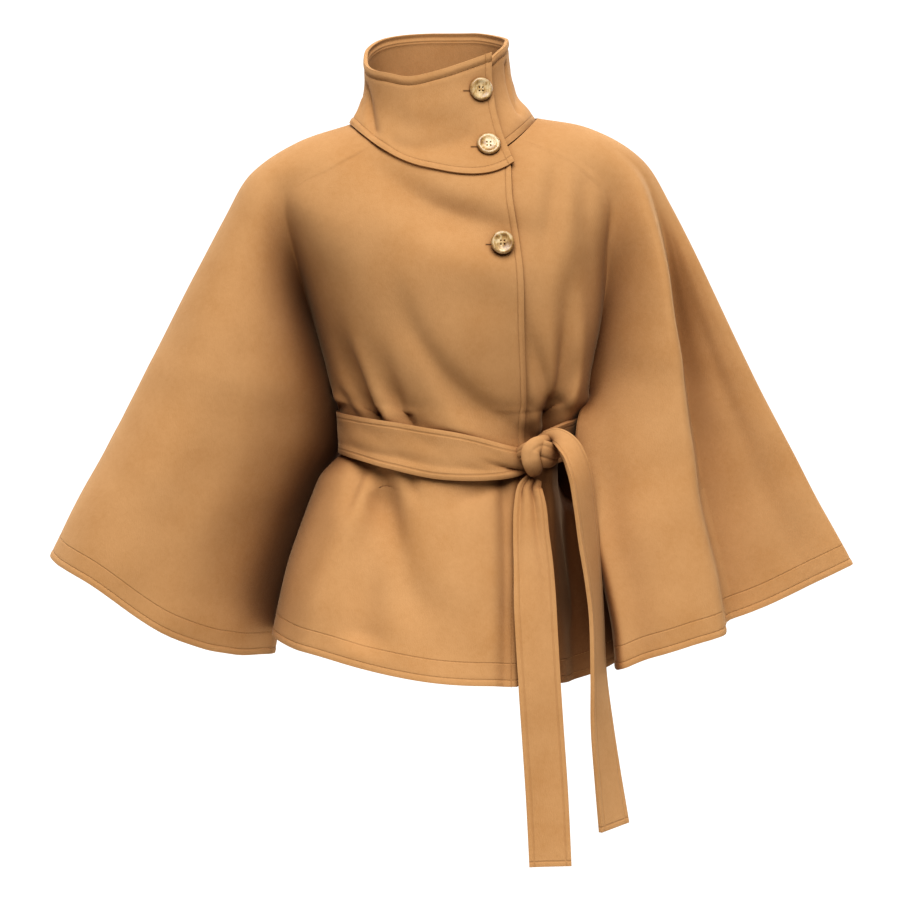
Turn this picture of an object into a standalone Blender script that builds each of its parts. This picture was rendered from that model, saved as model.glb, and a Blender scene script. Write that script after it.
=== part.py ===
"""Belted cape coat, filled out as worn: wool cloth panels, funnel collar, tied belt, three buttons.

Metres, +Z up, front towards -Y.  The origin is the middle of the neck seam.
Every panel is a lofted grid of cross-sections: rows run from the centre of the
body out to the overarm seam, and below the underarm each row parts into a body
section and a sleeve section.
"""
import math

import bmesh
import bpy
import numpy as np
from mathutils import Matrix, Vector

# ---- sizes -----------------------------------------------------------------
CLOTH = 0.0030          # one layer of coating with its facing, pressed
COLLAR_WALL = 0.0040    # collar: two layers and interlining
BELT_WALL = 0.0044      # belt: cloth folded double
SEAM = 0.0005           # gap left between neighbouring panels
ROWS = 27               # grid rows, neck to hem
BODY_COLS = 12          # grid columns across half the body
SLEEVE_AT = [0.0, 0.022, 0.08, 0.16, 0.25, 0.34, 0.41, 0.47, 0.53, 0.59, 0.69, 0.80, 0.91,
             0.985, 1.0]    # grid columns across a sleeve
NECK_DROP = 0.45        # sections by which the overlapping end of the neck seam is lower
UNDERARM = 5.0          # section number where body and sleeve part
LAP = 0.25              # overlap of the fronts, as a share of the half body
LAP_STEPS = 3           # grid columns in the overlap, shared by both fronts

# ---- sections down the body ------------------------------------------------
# level  number of the section, 0 = neck seam, 12 = hem
# z      height at the centre; apex  x of the middle of the body
# front, back  y of the cloth at the centre;  edge  x of the closing front edge
TORSO = [
    # level   z      apex   front   back   edge
    (0.0, -0.053, 0.000, -0.095, 0.068, 0.071),
    (1.0, -0.088, 0.002, -0.112, 0.086, 0.071),
    (2.0, -0.132, 0.004, -0.124, 0.098, 0.079),
    (3.0, -0.184, 0.006, -0.130, 0.101, 0.083),
    (4.0, -0.236, 0.010, -0.126, 0.097, 0.085),
    (5.0, -0.286, 0.014, -0.113, 0.089, 0.087),
    (6.0, -0.312, 0.016, -0.107, 0.085, 0.088),
    (7.0, -0.350, 0.017, -0.105, 0.084, 0.088),
    (8.0, -0.388, 0.016, -0.107, 0.086, 0.087),
    (9.0, -0.432, 0.014, -0.119, 0.099, 0.083),
    (10.0, -0.488, 0.011, -0.133, 0.113, 0.080),
    (11.0, -0.544, 0.008, -0.144, 0.124, 0.078),
    (12.0, -0.597, 0.006, -0.152, 0.132, 0.078),
]
# side_*   side seam of the body; in_*  underarm seam of the sleeve
# out_*    overarm seam; puff_*  how far the sleeve stands off that line
# dip      drop of the row between the two sleeve seams
RIGHT = [
    # level side_x side_y side_z   in_x   in_y   in_z   out_x  out_z  puff_f puff_b dip
    (0.0, -0.078, 0.000, -0.020, -0.078, 0.000, -0.020, -0.101, -0.003, 0.050, 0.030, 0.0),
    (1.0, -0.124, 0.000, -0.050, -0.124, 0.000, -0.050, -0.160, -0.023, 0.060, 0.045, 0.0),
    (2.0, -0.168, 0.000, -0.094, -0.168, 0.000, -0.094, -0.209, -0.056, 0.064, 0.050, 0.0),
    (3.0, -0.158, 0.000, -0.150, -0.158, 0.000, -0.150, -0.238, -0.104, 0.070, 0.056, 0.0),
    (4.0, -0.144, 0.000, -0.215, -0.144, 0.000, -0.215, -0.270, -0.163, 0.078, 0.060, 0.0),
    (5.0, -0.1250, 0.000, -0.286, -0.1250, 0.000, -0.286, -0.300, -0.220, 0.084, 0.062, 0.001),
    (5.5, -0.1160, 0.000, -0.300, -0.1245, 0.006, -0.300, -0.308, -0.237, 0.086, 0.060, 0.002),
    (6.0, -0.1125, 0.000, -0.312, -0.1165, 0.034, -0.312, -0.318, -0.256, 0.087, 0.058, 0.003),
    (7.0, -0.110, 0.000, -0.350, -0.1115, 0.050, -0.350, -0.334, -0.287, 0.088, 0.056, 0.005),
    (8.0, -0.112, 0.000, -0.388, -0.117, 0.056, -0.390, -0.352, -0.322, 0.090, 0.054, 0.007),
    (9.0, -0.146, 0.000, -0.428, -0.148, 0.058, -0.436, -0.372, -0.359, 0.092, 0.052, 0.010),
    (10.0, -0.170, 0.000, -0.478, -0.170, 0.058, -0.490, -0.393, -0.398, 0.092, 0.052, 0.016),
    (11.0, -0.181, 0.000, -0.522, -0.184, 0.056, -0.541, -0.413, -0.437, 0.092, 0.052, 0.021),
    (12.0, -0.189, 0.000, -0.560, -0.192, 0.052, -0.588, -0.433, -0.477, 0.090, 0.052, 0.026),
]
LEFT = [
    # level side_x side_y side_z   in_x   in_y   in_z   out_x  out_z  puff_f puff_b dip
    (0.0, 0.078, 0.000, -0.018, 0.078, 0.000, -0.018, 0.101, 0.003, 0.050, 0.030, 0.0),
    (1.0, 0.126, 0.000, -0.044, 0.126, 0.000, -0.044, 0.158, -0.008, 0.060, 0.045, 0.0),
    (2.0, 0.172, 0.000, -0.086, 0.172, 0.000, -0.086, 0.214, -0.041, 0.064, 0.052, 0.0),
    (3.0, 0.173, -0.010, -0.146, 0.173, -0.010, -0.146, 0.246, -0.091, 0.070, 0.058, 0.0),
    (4.0, 0.169, -0.022, -0.212, 0.169, -0.022, -0.212, 0.278, -0.153, 0.078, 0.068, 0.0),
    (5.0, 0.155, -0.032, -0.284, 0.155, -0.032, -0.284, 0.306, -0.212, 0.080, 0.076, 0.0),
    (5.5, 0.150, -0.031, -0.299, 0.1575, -0.034, -0.299, 0.314, -0.229, 0.074, 0.080, 0.0),
    (6.0, 0.1435, -0.024, -0.312, 0.1475, -0.050, -0.313, 0.323, -0.247, 0.068, 0.086, 0.0),
    (7.0, 0.138, -0.010, -0.350, 0.1425, -0.069, -0.354, 0.341, -0.284, 0.060, 0.096, 0.0),
    (8.0, 0.141, -0.004, -0.388, 0.149, -0.080, -0.397, 0.360, -0.320, 0.055, 0.102, 0.0),
    (9.0, 0.163, 0.000, -0.432, 0.157, -0.092, -0.443, 0.382, -0.361, 0.052, 0.106, 0.0),
    (10.0, 0.180, 0.000, -0.484, 0.170, -0.101, -0.490, 0.404, -0.402, 0.050, 0.108, 0.0),
    (11.0, 0.190, 0.000, -0.532, 0.180, -0.106, -0.536, 0.427, -0.442, 0.050, 0.110, 0.0),
    (12.0, 0.198, 0.000, -0.577, 0.184, -0.108, -0.580, 0.449, -0.482, 0.050, 0.110, 0.0),
]
# front of the left sleeve at the hem: one deep fold with its ridge a third of the way out
# place  0 underarm seam .. 1 overarm seam; share  how far across; forward  metres to the front
LOBE = [
    # place share  forward
    (0.00, 0.000, 0.000),
    (0.06, 0.010, 0.019),
    (0.16, 0.085, 0.038),
    (0.30, 0.260, 0.072),
    (0.41, 0.405, 0.084),
    (0.47, 0.436, 0.074),
    (0.53, 0.446, 0.034),
    (0.59, 0.475, 0.002),
    (0.72, 0.640, 0.008),
    (0.88, 0.885, 0.014),
    (0.95, 0.975, 0.012),
    (0.985, 0.9980, 0.006),
    (1.00, 1.000, 0.000),
]
# how that fold starts at the shoulder: where its ridge lies and how strong it is
RIDGE = [
    # level share  strength
    (0.0, 0.76, 0.00),
    (1.2, 0.76, 0.15),
    (2.0, 0.75, 0.50),
    (3.0, 0.72, 0.85),
    (4.0, 0.64, 1.00),
    (5.0, 0.61, 1.05),
    (6.0, 0.60, 1.00),
    (7.0, 0.57, 1.00),
    (8.0, 0.54, 1.00),
    (9.0, 0.49, 1.00),
    (10.0, 0.46, 1.00),
    (11.0, 0.44, 1.00),
    (12.0, 0.423, 1.00),
]
TORSO_COLS = ("level", "z", "apex", "front", "back", "edge")
SIDE_COLS = ("level", "side_x", "side_y", "side_z", "in_x", "in_y", "in_z",
             "out_x", "out_z", "puff_f", "puff_b", "dip")

# ---- main folds ------------------------------------------------------------
# across  body: -1 right side .. 0 centre .. 1 left side; sleeve: 0 underarm .. 1 overarm seam
# width   half width in the same units; depth  metres, + sinks in, - stands out
FOLDS = [
    # face    part       top   bottom  across at top, bottom  width  depth
    ("front", "body", 2.2, 6.4, 0.12, 0.42, 0.16, 0.0045),
    ("front", "body", 4.0, 6.6, -0.66, -0.46, 0.09, 0.0070),
    ("front", "body", 4.6, 6.6, -0.34, -0.22, 0.07, 0.0050),
    ("front", "body", 4.2, 6.6, 0.70, 0.54, 0.08, 0.0060),
    ("front", "body", 7.4, 11.8, -0.36, -0.32, 0.09, 0.0110),
    ("front", "body", 7.6, 12.6, -0.50, -0.62, 0.10, -0.0070),
    ("front", "body", 7.6, 11.0, 0.44, 0.50, 0.08, 0.0070),
    ("front", "body", 7.6, 12.6, 0.64, 0.70, 0.10, 0.0080),
    ("back", "body", 3.4, 6.6, -0.54, -0.34, 0.12, 0.0060),
    ("back", "body", 3.0, 6.6, 0.46, 0.30, 0.12, 0.0070),
    ("back", "body", 4.2, 6.6, -0.04, 0.02, 0.09, 0.0050),
    ("back", "body", 7.4, 12.6, -0.34, -0.44, 0.12, 0.0100),
    ("back", "body", 7.4, 11.6, 0.06, 0.02, 0.10, 0.0070),
    ("back", "body", 7.4, 12.6, 0.40, 0.52, 0.12, 0.0110),
    ("front", "right", 2.6, 13.9, 0.60, 0.72, 0.12, -0.0060),
    ("front", "right", 4.5, 13.9, 0.36, 0.40, 0.10, 0.0060),
    ("back", "right", 3.0, 13.9, 0.66, 0.60, 0.10, -0.0080),
    ("back", "right", 5.0, 13.9, 0.34, 0.30, 0.10, 0.0070),
    ("back", "left", 3.0, 13.9, 0.62, 0.66, 0.10, -0.0080),
    ("back", "left", 5.0, 13.9, 0.36, 0.34, 0.10, 0.0080),
]

# ---- collar ----------------------------------------------------------------
# angle  degrees round the neck from the front, negative towards the wearer's right
# inset  how far the strip lies inside the outer ring (the under end)
COLLAR = [
    # angle  rim_x   rim_y   rim_z   inset
    (47.0, 0.050, -0.058, 0.064, 0.0),
    (24.0, 0.020, -0.066, 0.053, 0.0),
    (0.0, -0.008, -0.069, 0.044, 0.0),
    (-24.0, -0.038, -0.066, 0.038, 0.0),
    (-50.0, -0.066, -0.050, 0.046, 0.0),
    (-75.0, -0.083, -0.022, 0.060, 0.0),
    (-100.0, -0.086, 0.014, 0.075, 0.0),
    (-125.0, -0.074, 0.046, 0.088, 0.0),
    (-152.0, -0.042, 0.068, 0.097, 0.0),
    (-180.0, -0.006, 0.074, 0.100, 0.0),
    (-208.0, 0.030, 0.068, 0.100, 0.0),
    (-235.0, 0.056, 0.048, 0.096, 0.0),
    (-260.0, 0.068, 0.018, 0.090, 0.0005),
    (-282.0, 0.068, -0.012, 0.084, 0.0028),
    (-302.0, 0.060, -0.038, 0.074, 0.0050),
    (-322.0, 0.045, -0.053, 0.061, 0.0052),
    (-345.0, 0.014, -0.062, 0.048, 0.0052),
]

# ---- belt ------------------------------------------------------------------
# turn: -1..1 across the front from the wearer's right to left, then round the back
BELT_BAND = [
    # turn   mid_z   height
    (0.38, -0.3625, 0.024),
    (0.26, -0.3620, 0.034),
    (0.07, -0.3575, 0.047),
    (-0.13, -0.3525, 0.052),
    (-0.36, -0.3450, 0.050),
    (-0.84, -0.3375, 0.045),
    (-1.20, -0.3380, 0.045),
    (-1.60, -0.3410, 0.045),
    (-2.00, -0.3430, 0.045),
    (-2.50, -0.3430, 0.045),
    (-3.00, -0.3420, 0.045),
    (-3.30, -0.3440, 0.043),
    (-3.50, -0.3490, 0.036),
]
# each strip of the belt: centre line, width, and the turn of its face about its
# own length (0 = facing forward, 90 = edge on)
TAIL_LONG = [
    # x        y       z     width  turn
    (0.0950, -0.0985, -0.3810, 0.016, 0.0),
    (0.0905, -0.1060, -0.3920, 0.027, 4.0),
    (0.0913, -0.1110, -0.4080, 0.034, 4.0),
    (0.0922, -0.1180, -0.4360, 0.038, 2.0),
    (0.0945, -0.1260, -0.4710, 0.042, 0.0),
    (0.0965, -0.1370, -0.5200, 0.045, -2.0),
    (0.1005, -0.1460, -0.5900, 0.045, -2.0),
    (0.1050, -0.1470, -0.6550, 0.045, 0.0),
    (0.1090, -0.1470, -0.7150, 0.045, 2.0),
    (0.1128, -0.1470, -0.7900, 0.045, 3.0),
]
TAIL_SHORT = [
    # x        y       z     width  turn
    (0.1045, -0.0910, -0.3345, 0.008, 0.0),
    (0.1125, -0.0950, -0.3310, 0.012, 0.0),
    (0.1230, -0.1010, -0.3325, 0.020, -5.0),
    (0.1330, -0.1090, -0.3430, 0.026, -18.0),
    (0.1415, -0.1205, -0.3600, 0.031, -36.0),
    (0.1470, -0.1300, -0.3830, 0.036, -50.0),
    (0.1515, -0.1350, -0.4130, 0.041, -60.0),
    (0.1565, -0.1380, -0.4580, 0.044, -68.0),
    (0.1620, -0.1390, -0.5220, 0.045, -76.0),
    (0.1640, -0.1410, -0.5860, 0.045, -70.0),
    (0.1670, -0.1420, -0.6380, 0.045, -61.0),
    (0.1730, -0.1420, -0.6940, 0.045, -54.0),
    (0.1800, -0.1420, -0.7490, 0.045, -46.0),
]
KNOT = [
    # x        y       z     width  turn
    (0.1000, -0.0950, -0.3440, 0.026, 0.0),
    (0.1000, -0.1010, -0.3455, 0.032, 0.0),
    (0.0995, -0.1060, -0.3515, 0.036, 0.0),
    (0.0985, -0.1070, -0.3590, 0.036, 0.0),
    (0.0985, -0.1045, -0.3670, 0.032, 0.0),
    (0.0985, -0.0995, -0.3735, 0.023, 0.0),
    (0.0985, -0.0955, -0.3755, 0.016, 0.0),
]

# ---- buttons ---------------------------------------------------------------
BUTTON_PROFILE = [
    # radius  height
    (0.0000, 0.0013),
    (0.0074, 0.0013),
    (0.0086, 0.0022),
    (0.0108, 0.0026),
    (0.0122, 0.0018),
    (0.0125, 0.0004),
    (0.0112, -0.0014),
    (0.0000, -0.0014),
]
BUTTON_SIDES = 24
HOLE_AT = 0.0019        # holes lie this far from the button's middle, both ways
HOLE_R = 0.0009
BUTTONS = [
    # name          on       x       z
    ("button_top", "collar", 0.0385, 0.0340),
    ("button_mid", "collar", 0.0460, -0.0260),
    ("button_low", "front", 0.0615, -0.1290),
]


def clear_scene():
    for ob in list(bpy.data.objects):
        bpy.data.objects.remove(ob, do_unlink=True)


def spline(xs, ys, x):
    """Cubic curve through the table's values, with level slopes at turning points."""
    xs = np.asarray(xs, float)
    ys = np.asarray(ys, float)
    x = np.clip(np.asarray(x, float), xs[0], xs[-1])
    step = np.diff(xs)
    rise = np.diff(ys) / step
    slope = np.zeros(len(xs))
    slope[1:-1] = np.where(rise[:-1] * rise[1:] > 0, (rise[:-1] + rise[1:]) / 2, 0.0)
    slope[0] = rise[0]
    slope[-1] = rise[-1]
    i = np.clip(np.searchsorted(xs, x, side="right") - 1, 0, len(xs) - 2)
    t = (x - xs[i]) / step[i]
    return ((2 * t**3 - 3 * t**2 + 1) * ys[i] + (t**3 - 2 * t**2 + t) * step[i] * slope[i]
            + (3 * t**2 - 2 * t**3) * ys[i + 1] + (t**3 - t**2) * step[i] * slope[i + 1])


def column(table, names, name, x):
    k = names.index(name)
    return spline([row[0] for row in table], [row[k] for row in table], x)


def ease(a, b, x):
    t = np.clip((x - a) / (b - a), 0.0, 1.0)
    return t * t * (3 - 2 * t)


def fold_depth(face, part, level, across):
    """Sum of the folds of one part at a section level and place across."""
    total = np.zeros(np.broadcast(level, across).shape)
    for f_face, f_part, top, low, at_top, at_low, width, depth in FOLDS:
        if (f_face, f_part) != (face, part):
            continue
        run = np.clip((level - top) / (low - top), 0.0, 1.0)
        centre = at_top + (at_low - at_top) * run
        rise = ease(0.0, 0.30, run) * (1.0 - ease(0.86, 1.0, (level - top) / (low - top)))
        total = total + depth * rise * np.exp(-((across - centre) / width) ** 2)
    return total


def waist(level):
    """1 under the belt, where the cloth is pressed flat, 0 away from it."""
    return ease(5.6, 6.0, level) * (1.0 - ease(8.0, 8.4, level))


def body_point(face, level, across):
    """Body surface: across runs -1 (right side seam) .. 0 .. 1 (left side seam)."""
    level, across = np.broadcast_arrays(np.asarray(level, float), np.asarray(across, float))
    side = {s: {n: column(t, SIDE_COLS, n, level) for n in SIDE_COLS[1:]}
            for s, t in (("r", RIGHT), ("l", LEFT))}
    tor = {n: column(TORSO, TORSO_COLS, n, level) for n in TORSO_COLS[1:]}
    left = across > 0
    pick = {n: np.where(left, side["l"][n], side["r"][n]) for n in SIDE_COLS[1:]}
    a = np.abs(across) * math.pi / 2
    depth = tor["front"] if face == "front" else tor["back"]
    # parted form: a quarter ellipse from the centre to the side seam
    split = np.stack([tor["apex"] + (pick["side_x"] - tor["apex"]) * np.sin(a),
                      pick["side_y"] + (depth - pick["side_y"]) * np.cos(a) ** 0.92,
                      tor["z"] + (pick["side_z"] - tor["z"]) * np.sin(a) ** 1.6], -1)
    # joined form: the same columns on one sweep from the centre to the overarm seam
    reach = (pick["side_x"] - tor["apex"]) / (pick["out_x"] - tor["apex"])
    q = np.arcsin(np.clip(reach, -1, 1)) * np.abs(across)
    top_back = np.where(face == "back", 0.056 * (1 - ease(0.0, 1.6, level)), 0.0)
    joined = np.stack([tor["apex"] + (pick["out_x"] - tor["apex"]) * np.sin(q),
                       depth * np.cos(q) ** 0.92,
                       tor["z"] + top_back
                       + (pick["out_z"] - tor["z"] - top_back) * np.sin(q) ** 2], -1)
    k = ease(0.6, UNDERARM, level)[..., None]
    point = joined + (split - joined) * k
    # above the belt the cloth blouses out beside the side seams
    puff = np.where(left, 0.014, 0.0) if face == "back" else np.where(left, 0.0, 0.006)
    point[..., 0] += (np.sign(across) * puff * np.exp(-((np.abs(across) - 0.86) / 0.10) ** 2)
                      * np.exp(-((level - 5.5) / 0.40) ** 2) * (1 - waist(level)))
    sink = fold_depth(face, "body", level, across) * (1 - waist(level))
    away = np.array([0.0, 1.0 if face == "front" else -1.0, 0.0])
    return point + sink[..., None] * away * (np.cos(a) ** 0.3)[..., None]


def sleeve_point(face, wearer, level, across):
    """Sleeve surface: across runs 0 (underarm seam) .. 1 (overarm seam)."""
    level, across = np.broadcast_arrays(np.asarray(level, float), np.asarray(across, float))
    table = RIGHT if wearer == "right" else LEFT
    s = {n: column(table, SIDE_COLS, n, level) for n in SIDE_COLS[1:]}
    tor = {n: column(TORSO, TORSO_COLS, n, level) for n in TORSO_COLS[1:]}
    depth = tor["front"] if face == "front" else tor["back"]
    sign = -1.0 if face == "front" else 1.0
    puff = s["puff_f"] if face == "front" else s["puff_b"]
    a = across * math.pi
    f = (1 - np.cos(a)) / 2
    soft = 0.45 * np.sin(a) + 0.55 * np.sin(a) ** 2
    lift = sign * puff * np.where(across < 0.5, soft, np.sin(a) ** 0.9)
    if (face, wearer) == ("front", "left"):
        ridge = column(RIDGE, ("level", "share", "strength"), "share", level)
        reach = column(RIDGE, ("level", "share", "strength"), "strength", level)
        lobe = ease(0.8, 2.4, level)
        places = [row[0] for row in LOBE]
        share = spline(places, [row[1] for row in LOBE], across)
        ahead = spline(places, [row[2] for row in LOBE], across)
        slope = 0.084 * np.sin(np.clip(share / 0.42, 0, 1) * math.pi / 2) ** 1.2
        slope = np.where(across < 0.41, slope, ahead)
        ahead = slope + (ahead - slope) * ease(6.0, 9.5, level)
        shift = (ridge - 0.42) * ease(0.0, 0.42, share) * (1 - ease(0.42, 1.0, share))
        f = f + (share + shift - f) * lobe
        lift = lift + (-ahead * reach - lift) * lobe
    sag = np.sin(math.pi * f ** 0.75) ** 2 * s["dip"]
    split = np.stack([s["in_x"] + (s["out_x"] - s["in_x"]) * f,
                      s["in_y"] * (1 - f) ** 2 + lift,
                      s["in_z"] + (s["out_z"] - s["in_z"]) * f - sag], -1)
    reach = np.clip((s["side_x"] - tor["apex"]) / (s["out_x"] - tor["apex"]), -1, 1)
    q0 = np.arcsin(reach)
    q = q0 + (math.pi / 2 - q0) * across
    top_back = np.where(face == "back", 0.056 * (1 - ease(0.0, 1.6, level)), 0.0)
    joined = np.stack([tor["apex"] + (s["out_x"] - tor["apex"]) * np.sin(q),
                       depth * np.cos(q) ** 0.92,
                       tor["z"] + top_back
                       + (s["out_z"] - tor["z"] - top_back) * np.sin(q) ** 2], -1)
    k = ease(0.6, UNDERARM, level)[..., None]
    point = joined + (split - joined) * k
    sink = fold_depth(face, wearer, level, across) * np.sin(a) ** 0.5
    return point + sink[..., None] * np.array([0.0, -sign, 0.0])


def levels():
    """Section levels of the rows, closer at the neck; one row is the underarm's."""
    above = np.linspace(0.0, UNDERARM, int(ROWS * 0.42))
    below = np.linspace(UNDERARM, 12.0, ROWS - len(above) + 1)[1:]
    return np.concatenate([above, below])


def spread(n):
    """n places from 0 to 1, close together towards both ends."""
    t = np.linspace(0.0, 1.0, n)
    return t - 0.122 * np.sin(2 * math.pi * t)


def normals(grid):
    du = np.gradient(grid, axis=1)
    dv = np.gradient(grid, axis=0)
    n = np.cross(du, dv)
    return n / np.maximum(np.linalg.norm(n, axis=-1, keepdims=True), 1e-9)


def relax(grid, split_col, rows_above, passes):
    """Round the valley between body and sleeve above the underarm."""
    n = grid.shape[1]
    near = np.exp(-((np.arange(n) - split_col) / 3.0) ** 2)[None, :, None]
    for _ in range(passes):
        mean = grid.copy()
        mean[:, 1:-1] = (grid[:, :-2] + grid[:, 2:]) / 2
        amount = np.zeros((grid.shape[0], 1, 1))
        amount[:rows_above, 0, 0] = np.linspace(0.6, 0.02, rows_above)
        grid = grid + (mean - grid) * near * amount
    return grid


def settle(sleeve, passes):
    """Even out the sleeve from row to row where it parts from the body."""
    near = np.exp(-((levels() - UNDERARM - 0.6) / 1.3) ** 2)[1:-1, None, None]
    free = ease(0.03, 0.30, np.array(SLEEVE_AT))[None, :, None]
    for _ in range(passes):
        mean = (sleeve[:-2] + sleeve[2:]) / 2
        sleeve[1:-1] += (mean - sleeve[1:-1]) * near * free * 0.6
    return sleeve


def panel_half(face, wearer, start):
    """Grid of one half: columns from `start` (array by row) to the overarm seam."""
    lv = levels()[:, None]
    sgn = -1.0 if wearer == "right" else 1.0
    t = spread(2 * BODY_COLS)[BODY_COLS:] * 2 - 1
    lap = LAP_STEPS if face == "front" else 0
    t = t[lap:] if lap else t
    t = (t - t[0]) / (1 - t[0])
    near = start + (-LAP if sgn < 0 else 0.0) * (lap > 0)
    across = near[:, None] + (sgn - near[:, None]) * t[None, :]
    if lap:
        steps = LAP * (1 - np.arange(lap) / lap)
        across = np.concatenate([near[:, None] - sgn * steps[None, :], across], axis=1)
    body = body_point(face, lv, across)
    if lap and sgn < 0:
        body = body_point(face, lv + neck_drop(body[..., 0], lv), across)
    sleeve = sleeve_point(face, wearer, lv, np.array(SLEEVE_AT)[None, :])
    return body, sleeve


def make_object(name, verts, faces, colour, rough=0.9, edges=()):
    mesh = bpy.data.meshes.new(name)
    mesh.from_pydata([tuple(map(float, v)) for v in verts], list(edges), faces)
    mesh.validate()
    ob = bpy.data.objects.new(name, mesh)
    COAT.objects.link(ob)
    mat = bpy.data.materials.new(name)
    mat.use_nodes = True
    bsdf = mat.node_tree.nodes["Principled BSDF"]
    bsdf.inputs["Base Color"].default_value = (*colour, 1.0)
    bsdf.inputs["Roughness"].default_value = rough
    mesh.materials.append(mat)
    return ob


def add_wall(ob, thickness):
    mod = ob.modifiers.new("wall", "SOLIDIFY")
    mod.thickness = thickness
    mod.offset = 0.0
    mod.use_rim = True
    return mod


def grid_faces(rows, cols, index, flip=False):
    faces = []
    for r in range(rows - 1):
        for c in range(cols - 1):
            quad = [index(r, c), index(r, c + 1), index(r + 1, c + 1), index(r + 1, c)]
            faces.append(quad[::-1] if flip else quad)
    return faces


def cloth_panel(name, columns, slits, flip):
    """columns: list of (rows x 3) arrays left to right; slits: column numbers after
    which the panel is parted below the underarm (that column and the next share
    their points above it)."""
    lv = levels()
    rows = len(lv)
    part_row = int(np.argmin(np.abs(lv - UNDERARM)))
    verts, ids = [], []
    for c, col in enumerate(columns):
        line = []
        for r in range(rows):
            if c - 1 in slits and r <= part_row:
                line.append(ids[c - 1][r])
            else:
                line.append(len(verts))
                verts.append(col[r])
        ids.append(line)
    faces = []
    for c in range(len(columns) - 1):
        if c in slits:
            continue
        for r in range(rows - 1):
            quad = [ids[c][r], ids[c + 1][r], ids[c + 1][r + 1], ids[c][r + 1]]
            faces.append(quad[::-1] if flip else quad)
    ob = make_object(name, verts, faces, CAMEL)
    add_wall(ob, CLOTH)
    return ob


def half_columns(face, wearer, start):
    """Columns of one half from the centre outwards, valley rounded, seams trimmed."""
    body, sleeve = panel_half(face, wearer, start)
    joined = np.concatenate([body, sleeve[:, 1:]], axis=1)
    part_row = int(np.argmin(np.abs(levels() - UNDERARM)))
    joined = relax(joined, body.shape[1] - 1, part_row, 6)
    body[:part_row] = joined[:part_row, :body.shape[1]]
    sleeve[:part_row] = joined[:part_row, body.shape[1] - 1:]
    sleeve = settle(sleeve, 5)
    sign = -1.0 if face == "front" else 1.0
    cols = [body[:, c] for c in range(body.shape[1])]
    cols += [sleeve[:, c] for c in range(sleeve.shape[1])]
    slit = body.shape[1] - 1
    half = np.array([0.0, sign * SEAM / 2, 0.0])
    tight = 0.0018 * ease(4.6, 5.0, levels()) * (1 - ease(7.0, 8.5, levels()))
    wide = half * (1 + tight / SEAM * 2)[:, None]
    clear = np.array([0.0, sign * (CLOTH / 2 + SEAM + 0.0008), 0.0])
    cols[-1] = cols[-1] + half
    cols[slit] = cols[slit] + wide
    cols[slit + 1] = cols[slit + 1] + wide
    # where the four edges meet under the arm the trough stops short of the seam
    near = np.exp(-((levels() - UNDERARM) / 0.55) ** 2)[:, None]
    near[part_row + 1:] = 0.0
    cols[slit] = cols[slit] + clear * near
    cols[slit + 1] = cols[slit + 1] + clear * near
    return cols, slit


def edge_across(lv):
    """Place across the body, by row, of the closing edge."""
    out = []
    for level, x in zip(lv, column(TORSO, TORSO_COLS, "edge", lv)):
        ts = np.linspace(-0.2, 0.75, 400)
        xs = body_point("front", level, ts)[:, 0]
        out.append(np.interp(x, xs, ts))
    return np.array(out)


def neck_drop(x, level):
    """The overlapping front and its collar end sit lower towards the closing edge."""
    return NECK_DROP * ease(-0.020, 0.066, x) * (1 - ease(0.2, 1.6, level))


def build_panels():
    lv = levels()
    cols, slit = half_columns("front", "right", edge_across(lv + neck_drop(1.0, lv)))
    cloth_panel("front_right", cols, {slit}, True)

    cols, slit = half_columns("front", "left", edge_across(lv))
    grid = np.stack(cols[:slit + 1], axis=1)
    edge_x = column(TORSO, TORSO_COLS, "edge", lv)[:, None]
    inset = (CLOTH + 3.0 * SEAM) * (1 - ease(0.006, 0.040, grid[..., 0] - edge_x))
    moved = grid + normals(grid) * inset[..., None]
    for c in range(slit + 1):
        cols[c] = moved[:, c]
    cloth_panel("front_left", cols, {slit}, False)

    zero = np.zeros(len(lv))
    right, slit_r = half_columns("back", "right", zero)
    left, slit_l = half_columns("back", "left", zero)
    cols = right[::-1] + left[1:]
    n = len(right)
    cloth_panel("back", cols, {n - 1 - slit_r - 1, n - 1 + slit_l}, False)


def collar_point(angle, h):
    """Collar surface at degrees round from the front and height share 0 seam .. 1 rim."""
    angle, h = np.broadcast_arrays(np.asarray(angle, float), np.asarray(h, float))
    names = ("angle", "rim_x", "rim_y", "rim_z", "inset")
    table = [(-row[0],) + row[1:] for row in COLLAR]
    rim = {n: column(table, names, n, -angle) for n in names[1:]}
    ang = np.radians(angle)
    front = np.cos(ang) > 0
    bx = 0.101 * np.sin(ang)
    level = np.where((angle > -180) & front, neck_drop(bx, 0.0), 0.0)
    tor = {n: column(TORSO, TORSO_COLS, n, level) for n in TORSO_COLS[1:]}
    reach = np.where(bx > 0, column(LEFT, SIDE_COLS, "out_x", level),
                     column(RIGHT, SIDE_COLS, "out_x", level))
    side_z = np.where(bx > 0, column(LEFT, SIDE_COLS, "out_z", level),
                      column(RIGHT, SIDE_COLS, "out_z", level))
    q = np.arcsin(np.clip((bx - tor["apex"]) / (reach - tor["apex"]), -1, 1))
    by = np.where(front, tor["front"], tor["back"]) * np.cos(q) ** 0.92
    centre_z = np.where(front, tor["z"], 0.003)
    bz = centre_z + (side_z - centre_z) * np.sin(q) ** 2 + CLOTH / 2 + SEAM + 0.0018
    k = 1 - (1 - h) ** 2.5
    x = bx + (rim["rim_x"] - bx) * k
    y = by + (rim["rim_y"] - by) * k
    z = bz + (rim["rim_z"] - bz) * h
    out = np.stack([x + 0.005 * h, y], -1)
    out = out / np.linalg.norm(out, axis=-1, keepdims=True)
    return np.stack([x - out[..., 0] * rim["inset"], y - out[..., 1] * rim["inset"], z], -1)


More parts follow.
